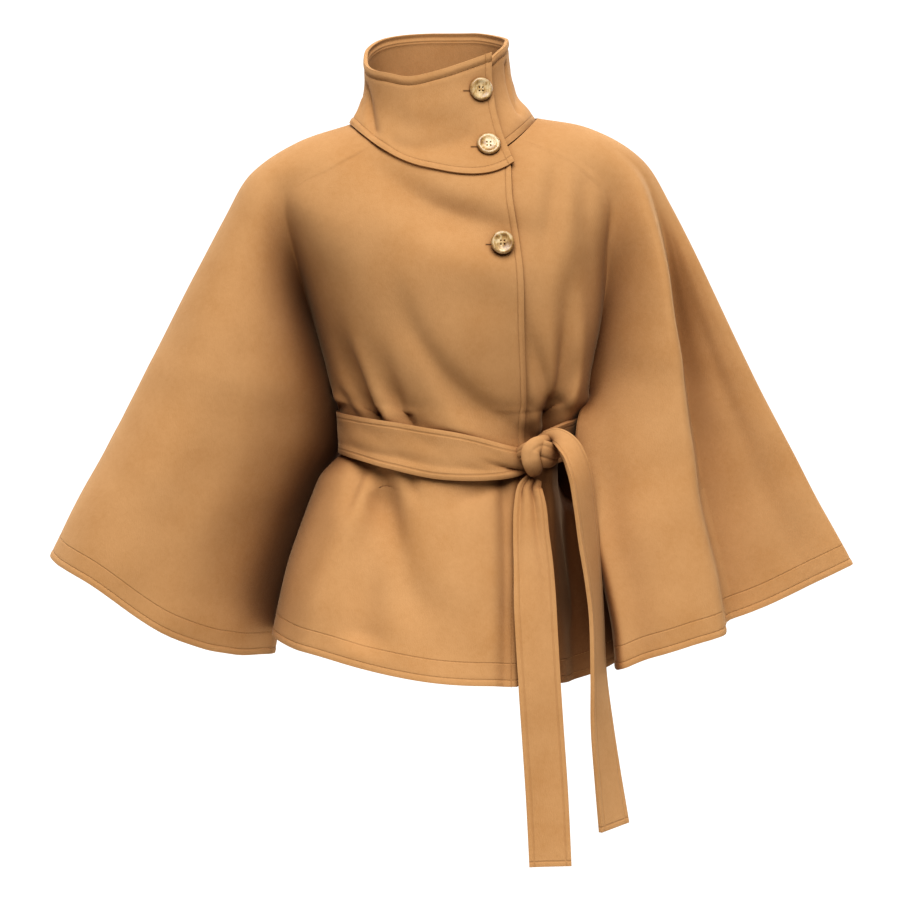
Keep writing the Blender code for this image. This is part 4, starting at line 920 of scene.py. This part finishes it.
def build_collar():
    """The collar's middle surface, and the distances to its end, foot and rim."""
    angle = np.linspace(COLLAR[0][0], COLLAR[-1][0], COLLAR_COLS)
    share = np.linspace(0.0, 1.0, COLLAR_ROWS)
    share = (share - 0.085 * np.sin(2 * math.pi * share))[:, None]
    grid = collar_point(angle, share)
    # pressed in a little at the right of the neck and where the under end leaves the seam
    grid[..., 0] += 0.0036 * hump(share, 0.42, 0.30) * hump(angle, -84, 30)
    grid[..., 0] -= 0.0045 * hump(share, 0.22, 0.16) * hump(angle, -264, 26)
    # the rim stands up higher over the front, and a little at the back right
    grid[..., 2] += 0.0094 * share ** 1.5 * ease(-80, -34, angle)
    grid[..., 2] += 0.0022 * share ** 3 * hump(angle, -132, 24)
    out = outward(grid, "round")
    # the lower edge is lapped onto the panels, and tucked in under the lapped end
    foot = hump(share, 0.0, 0.075)
    tucked = hump(angle, -286, 34)
    grid[..., 2] -= 0.0034 * foot * (1 + 0.9 * tucked)
    grid = grid + out * (0.0021 * foot * (1 - 1.9 * tucked))[..., None]
    # full and rounded along its stitched edges
    edge = run_length(grid, 1)
    up = run_length(grid, 0)
    full = (puffed_edge(edge, COLLAR_WALL) + puffed_edge(up - 0.001, COLLAR_WALL) * (1 - tucked)
            + 1.3 * puffed_edge((up[-1:] - up) * 0.72, COLLAR_WALL))
    sink = collar_sink(angle, share) * (1 - 0.8 * hump(edge, 0.0, 0.012))
    grid = grid + out * (full + unevenness(grid) - sink)[..., None]
    up = run_length(grid, 0)
    return grid, np.stack([edge, up, up[-1:] - up], -1)


def grid_faces(rows, cols, first=0):
    """Four-cornered faces of a grid whose points are stored row by row from first."""
    corners = [first + r * cols + c for r in range(rows - 1) for c in range(cols - 1)]
    return [(k, k + 1, k + cols + 1, k + cols) for k in corners]


def grid_cloth(name, grid, marks, thick, round_edge, wool):
    """A piece of cloth from one grid of points."""
    faces = grid_faces(*grid.shape[:2])
    ob = thick_cloth(name, grid.reshape(-1, 3), faces, marks.reshape(-1, 3), thick, round_edge)
    ob.data.materials.append(wool)
    return ob


# rows of stitches: X along the lapped end, Y along the foot, Z along the rim
COLLAR_ROWS_SEWN = (("X", 0.0072, 0.0012), ("Y", 0.0080, 0.0012), ("Z", 0.0098, 0.0013))
COLLAR_HOLES = [(0.0285, 0.0320, HALF_HOLE), (0.0365, -0.0275, HALF_HOLE)]
collar_grid, collar_marks = build_collar()
collar_wool = wool_coating("brushed_wool_collar", COLLAR_ROWS_SEWN, COLLAR_HOLES)
collar_cloth = grid_cloth("collar_cloth", collar_grid, collar_marks, COLLAR_WALL, COLLAR_EDGE, collar_wool)
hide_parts("collar")
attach(collar_cloth, "root")


# ---- belt ------------------------------------------------------------------------
# One long self belt of the coating folded double, stitched all round near its edges.
# It is wrapped once, tied at the left front, and its two ends hang from the knot.
BELT_WALL = 0.0044
BELT_WIDE = 0.045
BELT_ROW = 0.0055       # the belt's stitches, in from its edges
BAND_EDGE = 0.0018      # rounding of its edges
BAND_COLS = 240         # mesh columns round the waist, and rows across the band
BAND_ROWS = 20
STRAP_COLS = 22         # mesh columns across a strap
BELT_BAND = [
    # turn   mid_z   height
    (0.38, -0.3625, 0.024),
    (0.26, -0.3620, 0.034),
    (0.07, -0.3575, 0.047),
    (-0.13, -0.3525, 0.052),
    (-0.36, -0.3450, 0.050),
    (-0.84, -0.3375, 0.045),
    (-1.20, -0.3380, 0.045),
    (-1.60, -0.3410, 0.045),
    (-2.00, -0.3430, 0.045),
    (-2.50, -0.3430, 0.045),
    (-3.00, -0.3420, 0.045),
    (-3.30, -0.3440, 0.043),
    (-3.50, -0.3490, 0.036),
]
TAIL_LONG = [
    # x        y       z     width  turn
    (0.0950, -0.0985, -0.3810, 0.016, 0.0),
    (0.0905, -0.1060, -0.3920, 0.027, 4.0),
    (0.0913, -0.1110, -0.4080, 0.034, 4.0),
    (0.0922, -0.1180, -0.4360, 0.038, 2.0),
    (0.0945, -0.1260, -0.4710, 0.042, 0.0),
    (0.0965, -0.1370, -0.5200, 0.045, -2.0),
    (0.1005, -0.1460, -0.5900, 0.045, -2.0),
    (0.1050, -0.1470, -0.6550, 0.045, 0.0),
    (0.1090, -0.1470, -0.7150, 0.045, 2.0),
    (0.1128, -0.1470, -0.7900, 0.045, 3.0),
]
TAIL_SHORT = [
    # x        y       z     width  turn
    (0.1010, -0.0930, -0.3387, 0.004, 0.0),
    (0.1086, -0.0980, -0.3342, 0.0065, 0.0),
    (0.1171, -0.1030, -0.3336, 0.0134, -4.0),
    (0.1250, -0.1100, -0.3371, 0.0195, -18.0),
    (0.1320, -0.1170, -0.3448, 0.0262, -32.0),
    (0.1375, -0.1225, -0.3546, 0.0300, -42.0),
    (0.1419, -0.1270, -0.3667, 0.0365, -50.5),
    (0.1448, -0.1300, -0.3783, 0.0400, -55.0),
    (0.1485, -0.1340, -0.4050, 0.0440, -61.0),
    (0.1533, -0.1370, -0.4427, 0.0450, -64.0),
    (0.1585, -0.1385, -0.4830, 0.0450, -69.0),
    (0.1620, -0.1390, -0.5220, 0.045, -72.0),
    (0.1640, -0.1410, -0.5860, 0.045, -70.0),
    (0.1670, -0.1420, -0.6380, 0.045, -61.0),
    (0.1730, -0.1420, -0.6940, 0.045, -54.0),
    (0.1800, -0.1420, -0.7490, 0.045, -46.0),
]


# shape across the band, in shares of its height from the top edge: mm it stands out
BAND_FORM = [(0.00, -0.3), (0.10, 0.5), (0.30, 0.1), (0.55, 0.4), (0.76, -0.5), (0.86, 1.0),
             (0.95, 0.9), (1.00, 0.0)]


def wrap_points(turn, level, off):
    """Places (x, y) a distance off the body at the belt; turn runs on round the back."""
    turn, level = np.broadcast_arrays(turn, level)
    back = (turn < -1.0) & (turn >= -3.0)
    across = np.where(back, -2.0 - turn, np.where(turn < -3.0, turn + 4.0, turn))
    places = []
    for shift in (0.0, 0.004, -0.004):
        a = np.clip(across + shift, -1, 1) if shift else across
        places.append(np.where(back[..., None], body_point("back", level, a),
                               body_point("front", level, a)))
    p = places[0]
    t = (places[1] - places[2])[..., :2]
    t /= np.linalg.norm(t, axis=-1, keepdims=True)
    n = np.stack([t[..., 1], -t[..., 0]], -1)
    inward = (n * (p[..., :2] - np.array([0.016, -0.01]))).sum(-1, keepdims=True) < 0
    n = np.where(inward, -n, n)
    return p[..., :2] + n * off[..., None]


def build_band():
    """The band's middle surface, from under the knot round the body and back to it."""
    table = [(-row[0],) + row[1:] for row in BELT_BAND]
    turns = np.linspace(table[0][0], table[-1][0], BAND_COLS)
    size = sizes_at(table, ("turn", "mid_z", "height"), turns)
    share = np.linspace(0.0, 1.0, BAND_ROWS)[:, None]
    z = size["mid_z"] + (0.5 - share) * size["height"]
    level = np.interp(-z, [-row[1] for row in TORSO], [row[0] for row in TORSO])
    front = 1 - ease(0.75, 1.1, np.abs(turns))
    swell = spline(*zip(*BAND_FORM), share) / 1000
    wave = np.abs(0.5 * np.sin(9 * turns + 5 * share)) / 1000
    off = CLOTH / 2 + BELT_WALL / 2 + 2 * SEAM + swell * front + wave
    xy = wrap_points(-turns, level, off)
    # near the knot the upper part rolls into a tube over the lower part
    x = np.where(np.abs(turns) < 1.0, xy[..., 0], 0.0)
    line = np.interp(x, [0.02, 0.029, 0.064, 0.087], [0.45, 0.51, 0.64, 0.92])
    roll = ease(0.024, 0.084, x)
    off = off + roll * (0.0032 * np.sin(math.pi * np.clip(share / line, 0, 1))
                        - 0.0030 * hump(share, line, 0.075))
    return np.concatenate([wrap_points(-turns, level, off), z[..., None]], -1)


band_grid = build_band()
band_marks = far_marks(band_grid)
down = run_length(band_grid, 0)
band_marks[..., 1] = np.minimum(down, down[-1:] - down)
belt_wool = wool_coating("brushed_wool_belt", (("Y", BELT_ROW, 0.0019), ("X", BELT_ROW, 0.0019)))
belt_band_cloth = grid_cloth("belt_band_cloth", band_grid, band_marks, BELT_WALL, BAND_EDGE, belt_wool)


def strap_grid(table, steps, folds):
    """Middle surface of a strap along a table's points: its grid, lengths and places across.

    folds(s, a) gives how far it stands out, in metres, at a length s and place a.
    """
    rows = np.array(table)
    along = np.concatenate([[0], np.cumsum(np.linalg.norm(np.diff(rows[:, :3], axis=0), axis=1))])
    s = np.linspace(0, along[-1], steps)
    p = np.stack([spline(along, rows[:, k], s) for k in range(3)], -1)
    width = spline(along, rows[:, 3], s)
    turn = np.radians(spline(along, rows[:, 4], s))
    tangent = np.gradient(p, axis=0)
    tangent /= np.linalg.norm(tangent, axis=1, keepdims=True)
    flat = np.cross(np.array([0.0, -1.0, 0.0]), tangent)
    flat /= np.linalg.norm(flat, axis=1, keepdims=True)
    face = np.cross(tangent, flat)
    wide = flat * np.cos(turn)[:, None] + face * np.sin(turn)[:, None]
    deep = np.cross(tangent, wide)
    a = np.linspace(-0.5, 0.5, STRAP_COLS)
    grid = p[:, None, :] + wide[:, None, :] * (a[None, :] * width[:, None])[..., None]
    grid = grid + deep[:, None, :] * folds(s[:, None], a[None, :])[..., None]
    return grid, s, a


def strap_cloth(name, table, steps, folds):
    """A hanging end of the belt, and the grid it is made from."""
    grid, s, a = strap_grid(table, steps, folds)
    marks = far_marks(grid)
    marks[..., 1] = BELT_WIDE * (0.5 - np.abs(a))
    marks[..., 0] = (s[-1] - s)[:, None]
    return grid_cloth(name, grid, marks, BELT_WALL, BELT_WALL * 0.42, belt_wool), grid


def long_folds(s, a):
    """Two gathers that open out below the knot, then a slow wave."""
    gather = np.exp(-(s / 0.085) ** 1.5)
    right = 0.0050 * hump(a, 0.10 + 1.3 * s, 0.13)
    left = 0.0030 * hump(a, -0.24 - 1.4 * s, 0.09)
    return gather * (0.0020 * np.cos(2.6 * a) - right - left) + 0.0011 * np.sin(14 * s + 3 * a)


def short_folds(s, a):
    """Rounded over the loop at the knot, then a slow wave."""
    curl = hump(s, 0.0, 0.07)
    return 0.0022 * curl * (1 - (2 * a) ** 2) + 0.0009 * np.sin(13 * s + 2) * ease(0.06, 0.16, s)


# the knot is the end wrapped over itself: one strip lying up to the right, one over it
KNOT_STEPS = 40         # mesh steps along each strip
KNOT_WALL = 0.0040      # the cloth is pulled a little thinner here
KNOT_EDGE = 0.0016
KNOT_LENGTH = 0.060
KNOT_UNDER = [
    (0.0800, -0.0985, -0.3545, 0.010, 0.0),
    (0.0880, -0.1060, -0.3515, 0.018, 0.0),
    (0.0970, -0.1095, -0.3505, 0.025, 0.0),
    (0.1060, -0.1080, -0.3530, 0.027, 0.0),
    (0.1130, -0.1025, -0.3560, 0.023, 0.0),
    (0.1172, -0.0935, -0.3575, 0.016, 0.0),
]
KNOT_OVER = [
    (0.1100, -0.0990, -0.3385, 0.008, 0.0),
    (0.1035, -0.1075, -0.3405, 0.012, 0.0),
    (0.0960, -0.1135, -0.3440, 0.015, 0.0),
    (0.0912, -0.1165, -0.3505, 0.017, 0.0),
    (0.0915, -0.1165, -0.3575, 0.017, 0.0),
    (0.0942, -0.1130, -0.3655, 0.016, 0.0),
    (0.0960, -0.1060, -0.3710, 0.013, 0.0),
    (0.0968, -0.0980, -0.3730, 0.010, 0.0),
]


def bulge(a):
    """A strip rolled into half a tube: 1 along its middle, almost 0 at its edges."""
    return np.sqrt(np.maximum(1 - (1.9 * a) ** 2, 0.02))


def under_folds(s, a):
    """The strip underneath: bulging, with two gathers that run across it."""
    gathers = 0.0011 * hump(a, 3 * s - 0.20, 0.07) + 0.0009 * hump(a, 2 * s + 0.26, 0.06)
    return 0.0042 * bulge(a) - gathers


def over_folds(s, a):
    """The strip on top: bulging, with one soft gather."""
    return 0.0038 * bulge(a) - 0.0006 * hump(a, 0.28 - 6 * s, 0.13)


tail_long_cloth, long_grid = strap_cloth("belt_tail_long_cloth", TAIL_LONG, 150, long_folds)
tail_short_cloth, short_grid = strap_cloth("belt_tail_short_cloth", TAIL_SHORT, 160, short_folds)
knot_verts, knot_faces = [], []
for table, folds in ((KNOT_UNDER, under_folds), (KNOT_OVER, over_folds)):
    strip = strap_grid(table, KNOT_STEPS, folds)[0]
    knot_faces += grid_faces(KNOT_STEPS, STRAP_COLS, len(knot_verts))
    knot_verts += list(strip.reshape(-1, 3))
knot_cloth = thick_cloth("belt_knot_cloth", knot_verts, knot_faces, far_marks(np.array(knot_verts)),
                         KNOT_WALL, KNOT_EDGE)
knot_cloth.data.materials.append(belt_wool)
# the stretch of belt that shows in the knot, laid flat
knot_flat = np.array([[(0.0, 0.0, z), (BELT_WIDE, 0.0, z)] for z in (0.0, -KNOT_LENGTH)])
for piece, node, grid in ((belt_band_cloth, "belt_band", band_grid), (knot_cloth, "belt_knot", knot_flat),
                          (tail_long_cloth, "belt_tail_long", long_grid),
                          (tail_short_cloth, "belt_tail_short", short_grid)):
    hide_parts(node)
    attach(piece, "root")


# ---- buttons ---------------------------------------------------------------------
# Three turned buttons of real or imitation horn: a raised round rim, a dished middle and
# four holes, polished so that they shine softly.
BUTTON_R = 0.0125
BUTTON_BACK = 0.0014    # depth of the back's middle below the button's own zero
BUTTON_PROFILE = [
    # radius  height
    (0.0000, 0.0010),
    (0.0040, 0.0010),
    (0.0068, 0.0012),
    (0.0081, 0.0019),
    (0.0092, 0.0025),
    (0.0106, 0.0026),
    (0.0118, 0.0020),
    (0.0124, 0.0010),
    (BUTTON_R, 0.0002),
    (0.0121, -0.0007),
    (0.0110, -0.0013),
    (0.0000, -BUTTON_BACK),
]
BUTTON_GAP = {"collar": 0.00105, "front": 0.0003}      # thread left between button and cloth
BUTTON_SIDES = 64
HOLE_AT = 0.0019        # holes lie this far from the button's middle, both ways
HOLE_R = 0.0009
BUTTONS = [
    # name          on       x       z
    ("button_top", "collar", 0.0385, 0.0340),
    ("button_mid", "collar", 0.0460, -0.0260),
    ("button_low", "front", 0.0615, -0.1290),
]


def button_seat(on, x, z):
    """Matrix that lays a button, modelled facing +Z, on the collar or the front."""
    if on == "collar":
        grid = collar_point(np.linspace(-30, 46, 90), np.linspace(0, 1, 60)[:, None])
    else:
        grid = body_point("front", np.linspace(0.5, 4, 90)[:, None], np.linspace(0, 0.6, 90))
    r, c = np.unravel_index(np.argmin((grid[..., 0] - x) ** 2 + (grid[..., 2] - z) ** 2),
                            grid.shape[:2])
    n = Vector(np.cross(grid[r, c + 4] - grid[r, c - 4], grid[r + 4, c] - grid[r - 4, c]))
    n = n.normalized()
    n = -n if n.y > 0 else n
    wall = COLLAR_WALL if on == "collar" else CLOTH
    at = Vector(grid[r, c]) + n * (wall / 2 + BUTTON_BACK + BUTTON_GAP[on])
    return Matrix.Translation(at) @ n.to_track_quat("Z", "Y").to_matrix().to_4x4()


def turned_button(name, on, x, z):
    """A button turned to its profile, drilled with four holes and laid in its place."""
    bm = bmesh.new()
    rings = []
    for r, h in BUTTON_PROFILE:
        if r == 0:
            rings.append([bm.verts.new((0, 0, h))])
        else:
            rings.append([bm.verts.new((r * math.cos(2 * math.pi * k / BUTTON_SIDES),
                                        r * math.sin(2 * math.pi * k / BUTTON_SIDES), h))
                          for k in range(BUTTON_SIDES)])
    for a, b in zip(rings, rings[1:]):
        for k in range(BUTTON_SIDES):
            j = (k + 1) % BUTTON_SIDES
            quad = [a[k % len(a)], b[k % len(b)], b[j % len(b)], a[j % len(a)]]
            bm.faces.new(list(dict.fromkeys(quad)))
    bmesh.ops.recalc_face_normals(bm, faces=bm.faces)
    mesh = bpy.data.meshes.new(name)
    bm.to_mesh(mesh)
    bm.free()
    ob = put(name, mesh)
    tools = []
    for i, (sx, sy) in enumerate(((1, 1), (-1, 1), (-1, -1), (1, -1))):
        bm = bmesh.new()
        bmesh.ops.create_cone(bm, cap_ends=True, segments=18, radius1=HOLE_R, radius2=HOLE_R, depth=0.02)
        bmesh.ops.translate(bm, verts=bm.verts, vec=(sx * HOLE_AT, sy * HOLE_AT, 0))
        tool = bpy.data.meshes.new("drill")
        bm.to_mesh(tool)
        bm.free()
        drill = put("drill", tool)
        tools.append(drill)
        mod = ob.modifiers.new(f"hole_{i}", "BOOLEAN")
        mod.operation = "DIFFERENCE"
        mod.solver = "EXACT"
        mod.object = drill
    plain = settle(ob)
    for drill in tools:
        bpy.data.objects.remove(drill, do_unlink=True)
    points = np.zeros(len(plain.vertices) * 3)
    plain.vertices.foreach_get("co", points)
    share = np.hypot(*points.reshape(-1, 3)[:, :2].T) / BUTTON_R
    plain.attributes.new("radius_share", "FLOAT", "POINT").data.foreach_set("value", share)
    plain.transform(button_seat(on, x, z))
    plain.shade_smooth()
    plain.materials.clear()
    plain.materials.append(horn)
    return ob


def polished_horn(name):
    """Turned and polished horn: blond and brown clouds and streaks, half see-through,
    with a soft shine, darker towards the rim."""
    mat, tree, place = begin_material(name)
    # clouds about 9 mm across, drawn out into streaks about 1.4 mm apart
    cloud = add(tree, "ShaderNodeTexNoise", inputs={"Scale": 110.0, "Detail": 3.0, "Distortion": 0.8},
                links={"Vector": place})
    drawn = add(tree, "ShaderNodeMapping", inputs={"Scale": (1.0, 1.0, 0.22), "Rotation": (0.0, 0.5, 0.0)},
                links={"Vector": place})
    streak = add(tree, "ShaderNodeTexNoise", inputs={"Scale": 720.0, "Detail": 3.0, "Roughness": 0.6},
                 links={"Vector": drawn.outputs["Vector"]})
    both = add(tree, "ShaderNodeMath", {"operation": "MULTIPLY_ADD"}, {1: 0.5},
               {0: streak.outputs["Fac"], 2: cloud.outputs["Fac"]})
    ramp = add(tree, "ShaderNodeValToRGB", links={"Fac": add(
        tree, "ShaderNodeMapRange", inputs={"From Min": 0.52, "From Max": 0.98},
        links={"Value": both.outputs["Value"]}).outputs["Result"]})
    ramp.color_ramp.elements[0].color = linear("#8A6438")
    ramp.color_ramp.elements[1].color = linear("#E6D0AA")
    ramp.color_ramp.elements.new(0.38).color = linear("#B9955F")
    ramp.color_ramp.elements.new(0.62).color = linear("#D6BA8C")
    # the turned profile, kept by point: 0 in the middle, 1 at the edge
    ring = add(tree, "ShaderNodeAttribute", {"attribute_name": "radius_share"})
    rim = add(tree, "ShaderNodeMapRange", {"interpolation_type": "SMOOTHSTEP"},
              {"From Min": 0.70, "From Max": 1.0, "To Min": 0.0, "To Max": 0.62},
              {"Value": ring.outputs["Fac"]})
    tone = add(tree, "ShaderNodeMix", {"data_type": "RGBA"}, {7: linear("#8A6232")},
               {0: rim.outputs["Result"], 6: ramp.outputs["Color"]})
    turned = add(tree, "ShaderNodeBump", inputs={"Strength": 0.12, "Distance": 0.0002},
                 links={"Height": streak.outputs["Fac"]})
    skin = add(tree, "ShaderNodeBsdfPrincipled",
               inputs={"Roughness": 0.36, "IOR": 1.55, "Coat Weight": 0.15, "Coat Roughness": 0.22,
                       "Subsurface Weight": 0.12, "Subsurface Radius": (0.004, 0.0025, 0.0012),
                       "Subsurface Scale": 0.5},
               links={"Base Color": tone.outputs[2], "Normal": turned.outputs["Normal"]})
    add(tree, "ShaderNodeOutputMaterial", links={"Surface": skin.outputs["BSDF"]})
    return mat


horn = polished_horn("polished_blond_horn")
for name, on, x, z in BUTTONS:
    button = turned_button(name + "_horn", on, x, z)
    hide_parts(name)
    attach(button, "root")


# ---- topstitching ----------------------------------------------------------------
# Rows of stitches in camel thread, about 4 mm each: two rows at every hem, one down the
# closing edge of the right front, and one along the collar's lapped end, foot and rim.
# The belt's own rows show only as furrows in its cloth, dented by bump and darkened with painted shade.
STITCH = 0.0040         # spacing of the stitches on the panels
COLLAR_STITCH = 0.0036  # and on the collar
THREAD = 0.00050        # thickness of the thread
STITCH_SUNK = 0.00005   # how deep the thread's middle lies in the cloth


def thread(name, hexcode):
    """Spun polyester sewing thread in the cloth's colour, faintly glossy."""
    mat, tree, place = begin_material(name)
    # twist and wear of the thread, about 2 mm
    wear = add(tree, "ShaderNodeTexNoise", inputs={"Scale": 500.0, "Detail": 2.0}, links={"Vector": place})
    tone = add(tree, "ShaderNodeMix", {"data_type": "RGBA"},
               {6: linear(hexcode), 7: linear("#8A5E34")},
               {0: add(tree, "ShaderNodeMapRange", inputs={"From Min": 0.35, "From Max": 0.8, "To Max": 0.5},
                       links={"Value": wear.outputs["Fac"]}).outputs["Result"]})
    skin = add(tree, "ShaderNodeBsdfPrincipled", inputs={"Roughness": 0.62},
               links={"Base Color": tone.outputs[2]})
    add(tree, "ShaderNodeOutputMaterial", links={"Surface": skin.outputs["BSDF"]})
    return mat


def stitch_nodes(material):
    """Node tree: stitches of a set length laid end to end along the row's line."""
    tree = bpy.data.node_groups.new("topstitch_row", "GeometryNodeTree")
    face = tree.interface
    face.new_socket("Geometry", in_out="INPUT", socket_type="NodeSocketGeometry")
    for label, value in (("Spacing", STITCH), ("Length", STITCH * 0.80), ("Width", THREAD)):
        face.new_socket(label, in_out="INPUT", socket_type="NodeSocketFloat").default_value = value
    face.new_socket("Geometry", in_out="OUTPUT", socket_type="NodeSocketGeometry")
    given = add(tree, "NodeGroupInput")
    line = add(tree, "GeometryNodeMeshToCurve", links={"Mesh": given.outputs["Geometry"]})
    even = add(tree, "GeometryNodeResampleCurve", {"mode": "LENGTH"},
               links={"Curve": line.outputs["Curve"], "Length": given.outputs["Spacing"]})
    grain = add(tree, "GeometryNodeMeshIcoSphere", inputs={"Radius": 0.5, "Subdivisions": 1})
    size = add(tree, "ShaderNodeCombineXYZ", links={"X": given.outputs["Length"],
                                                   "Y": given.outputs["Width"],
                                                   "Z": given.outputs["Width"]})
    shaped = add(tree, "GeometryNodeTransform", links={"Geometry": grain.outputs["Mesh"],
                                                      "Scale": size.outputs["Vector"]})
    along = add(tree, "GeometryNodeInputTangent")
    turn = add(tree, "FunctionNodeAlignRotationToVector", {"axis": "X"},
               links={"Vector": along.outputs["Tangent"]})
    laid = add(tree, "GeometryNodeInstanceOnPoints",
               links={"Points": even.outputs["Curve"], "Instance": shaped.outputs["Geometry"],
                      "Rotation": turn.outputs["Rotation"]})
    real = add(tree, "GeometryNodeRealizeInstances", links={"Geometry": laid.outputs["Instances"]})
    done = add(tree, "GeometryNodeSetMaterial", {}, {"Material": material},
               {"Geometry": real.outputs["Geometry"]})
    add(tree, "NodeGroupOutput", links={"Geometry": done.outputs["Geometry"]})
    return tree


camel_thread = thread("spun_camel_thread", "#B98A55")
STITCH_ROW = stitch_nodes(camel_thread)
STITCH_KEYS = {item.name: item.identifier for item in STITCH_ROW.interface.items_tree
               if item.in_out == "INPUT"}


def stitched(name, rows, spacing):
    """One piece of stitching from rows of points."""
    points = [tuple(map(float, p)) for row in rows for p in row]
    ends = np.cumsum([len(row) for row in rows]) - 1
    edges = [(i, i + 1) for i in range(len(points) - 1) if i not in set(ends.tolist())]
    mesh = bpy.data.meshes.new(name + "_lines")
    mesh.from_pydata(points, edges, [])
    ob = put(name, mesh)
    sew = ob.modifiers.new("sew", "NODES")
    sew.node_group = STITCH_ROW
    for label, value in (("Spacing", spacing), ("Length", spacing * 0.80), ("Width", THREAD)):
        sew[STITCH_KEYS[label]] = value
    settle(ob)
    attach(ob, "root")


def row_at(grid, marks, face, axis, far, wall):
    """Points where a grid's distance to one of its edges equals far, on its outer face."""
    out = outward(grid, face)
    dist = marks[..., "XYZ".index(axis)]
    if axis == "X":
        grid, out, dist = grid.swapaxes(0, 1), out.swapaxes(0, 1), dist.T
    row = []
    for c in range(grid.shape[1]):
        order = np.argsort(dist[:, c], kind="stable")
        d = dist[order, c]
        if d[-1] < far:
            continue
        p = np.array([np.interp(far, d, grid[order, c, k]) for k in range(3)])
        n = np.array([np.interp(far, d, out[order, c, k]) for k in range(3)])
        row.append(p + n / np.linalg.norm(n) * (wall / 2 - STITCH_SUNK))
    return row


for name, face, blocks in (("front_right", "front", [body_fr, sleeve_fr]),
                           ("front_left", "front", [body_fl, sleeve_fl]),
                           ("back", "back", back_blocks)):
    rows = [row_at(block, mark_block(block, False), face, "Y", far, CLOTH)
            for block in blocks for far in HEM_ROWS]
    if name == "front_right":
        rows.append(row_at(body_fr, mark_block(body_fr, True), face, "X", EDGE_ROW, CLOTH))
    stitched(name + "_topstitch", rows, STITCH)
stitched("collar_topstitch", [row_at(collar_grid, collar_marks, "round", axis, far, COLLAR_WALL)
                              for axis, far, wide in COLLAR_ROWS_SEWN], COLLAR_STITCH)


# ---- studio ----------------------------------------------------------------------
# A round pale floor at the wearer's feet under a white sky, with one large soft light high
# in front, as for a cut-out catalogue picture, and two weaker ones for the back.
FLOOR_R = 1.6
FLOOR_Z = -1.45
FLOOR_SIDES = 96
floor_mesh = bpy.data.meshes.new("studio_floor")
turns = [2 * math.pi * k / FLOOR_SIDES for k in range(FLOOR_SIDES)]
floor_mesh.from_pydata([(FLOOR_R * math.cos(turn), FLOOR_R * math.sin(turn), FLOOR_Z) for turn in turns],
                       [], [tuple(range(FLOOR_SIDES))])
floor = put("studio_floor", floor_mesh)
floor_mat = bpy.data.materials.new("white_paper_floor")
floor_mat.use_nodes = True
floor_skin = floor_mat.node_tree.nodes["Principled BSDF"]
floor_skin.inputs["Base Color"].default_value = linear("#CFCFCC")
floor_skin.inputs["Roughness"].default_value = 0.95
floor_mesh.materials.append(floor_mat)

# the sky is white to the eye and gives only a little of the light
sky = bpy.data.worlds.new("white_studio")
sky.use_nodes = True
seen = sky.node_tree.nodes["Background"]
seen.inputs["Color"].default_value = (1.0, 1.0, 1.0, 1.0)
ray = add(sky.node_tree, "ShaderNodeLightPath").outputs["Is Camera Ray"]
level = add(sky.node_tree, "ShaderNodeMapRange", inputs={"To Min": 0.06, "To Max": 1.0},
            links={"Value": ray})
sky.node_tree.links.new(level.outputs["Result"], seen.inputs["Strength"])
bpy.context.scene.world = sky


def soft_sun(name, azimuth, height, spread_deg, strength):
    """A far, wide soft light; azimuth from straight in front towards the right."""
    data = bpy.data.lights.new(name, "SUN")
    data.angle = math.radians(spread_deg)
    data.energy = strength
    a, h = math.radians(azimuth), math.radians(height)
    toward = Vector((math.sin(a) * math.cos(h), -math.cos(a) * math.cos(h), math.sin(h)))
    put(name, data).rotation_euler = toward.to_track_quat("Z", "Y").to_euler()


soft_sun("key_softbox", 2.0, 54.0, 50.0, 4.35)
soft_sun("back_left_softbox", -142.0, 24.0, 50.0, 2.0)
soft_sun("back_right_softbox", 142.0, 24.0, 50.0, 2.0)

bpy.context.scene.view_settings.view_transform = "Standard"
bpy.context.scene.view_settings.look = "Medium High Contrast"
lens = bpy.data.cameras.new("camera")
lens.lens = 120.0
lens.sensor_width = 36.0
camera = put("camera", lens)
camera.location = (0.00599, -3.28744, -0.07059)
camera.rotation_euler = (math.radians(85.0), 0.0, 0.0)
bpy.context.scene.camera = camera
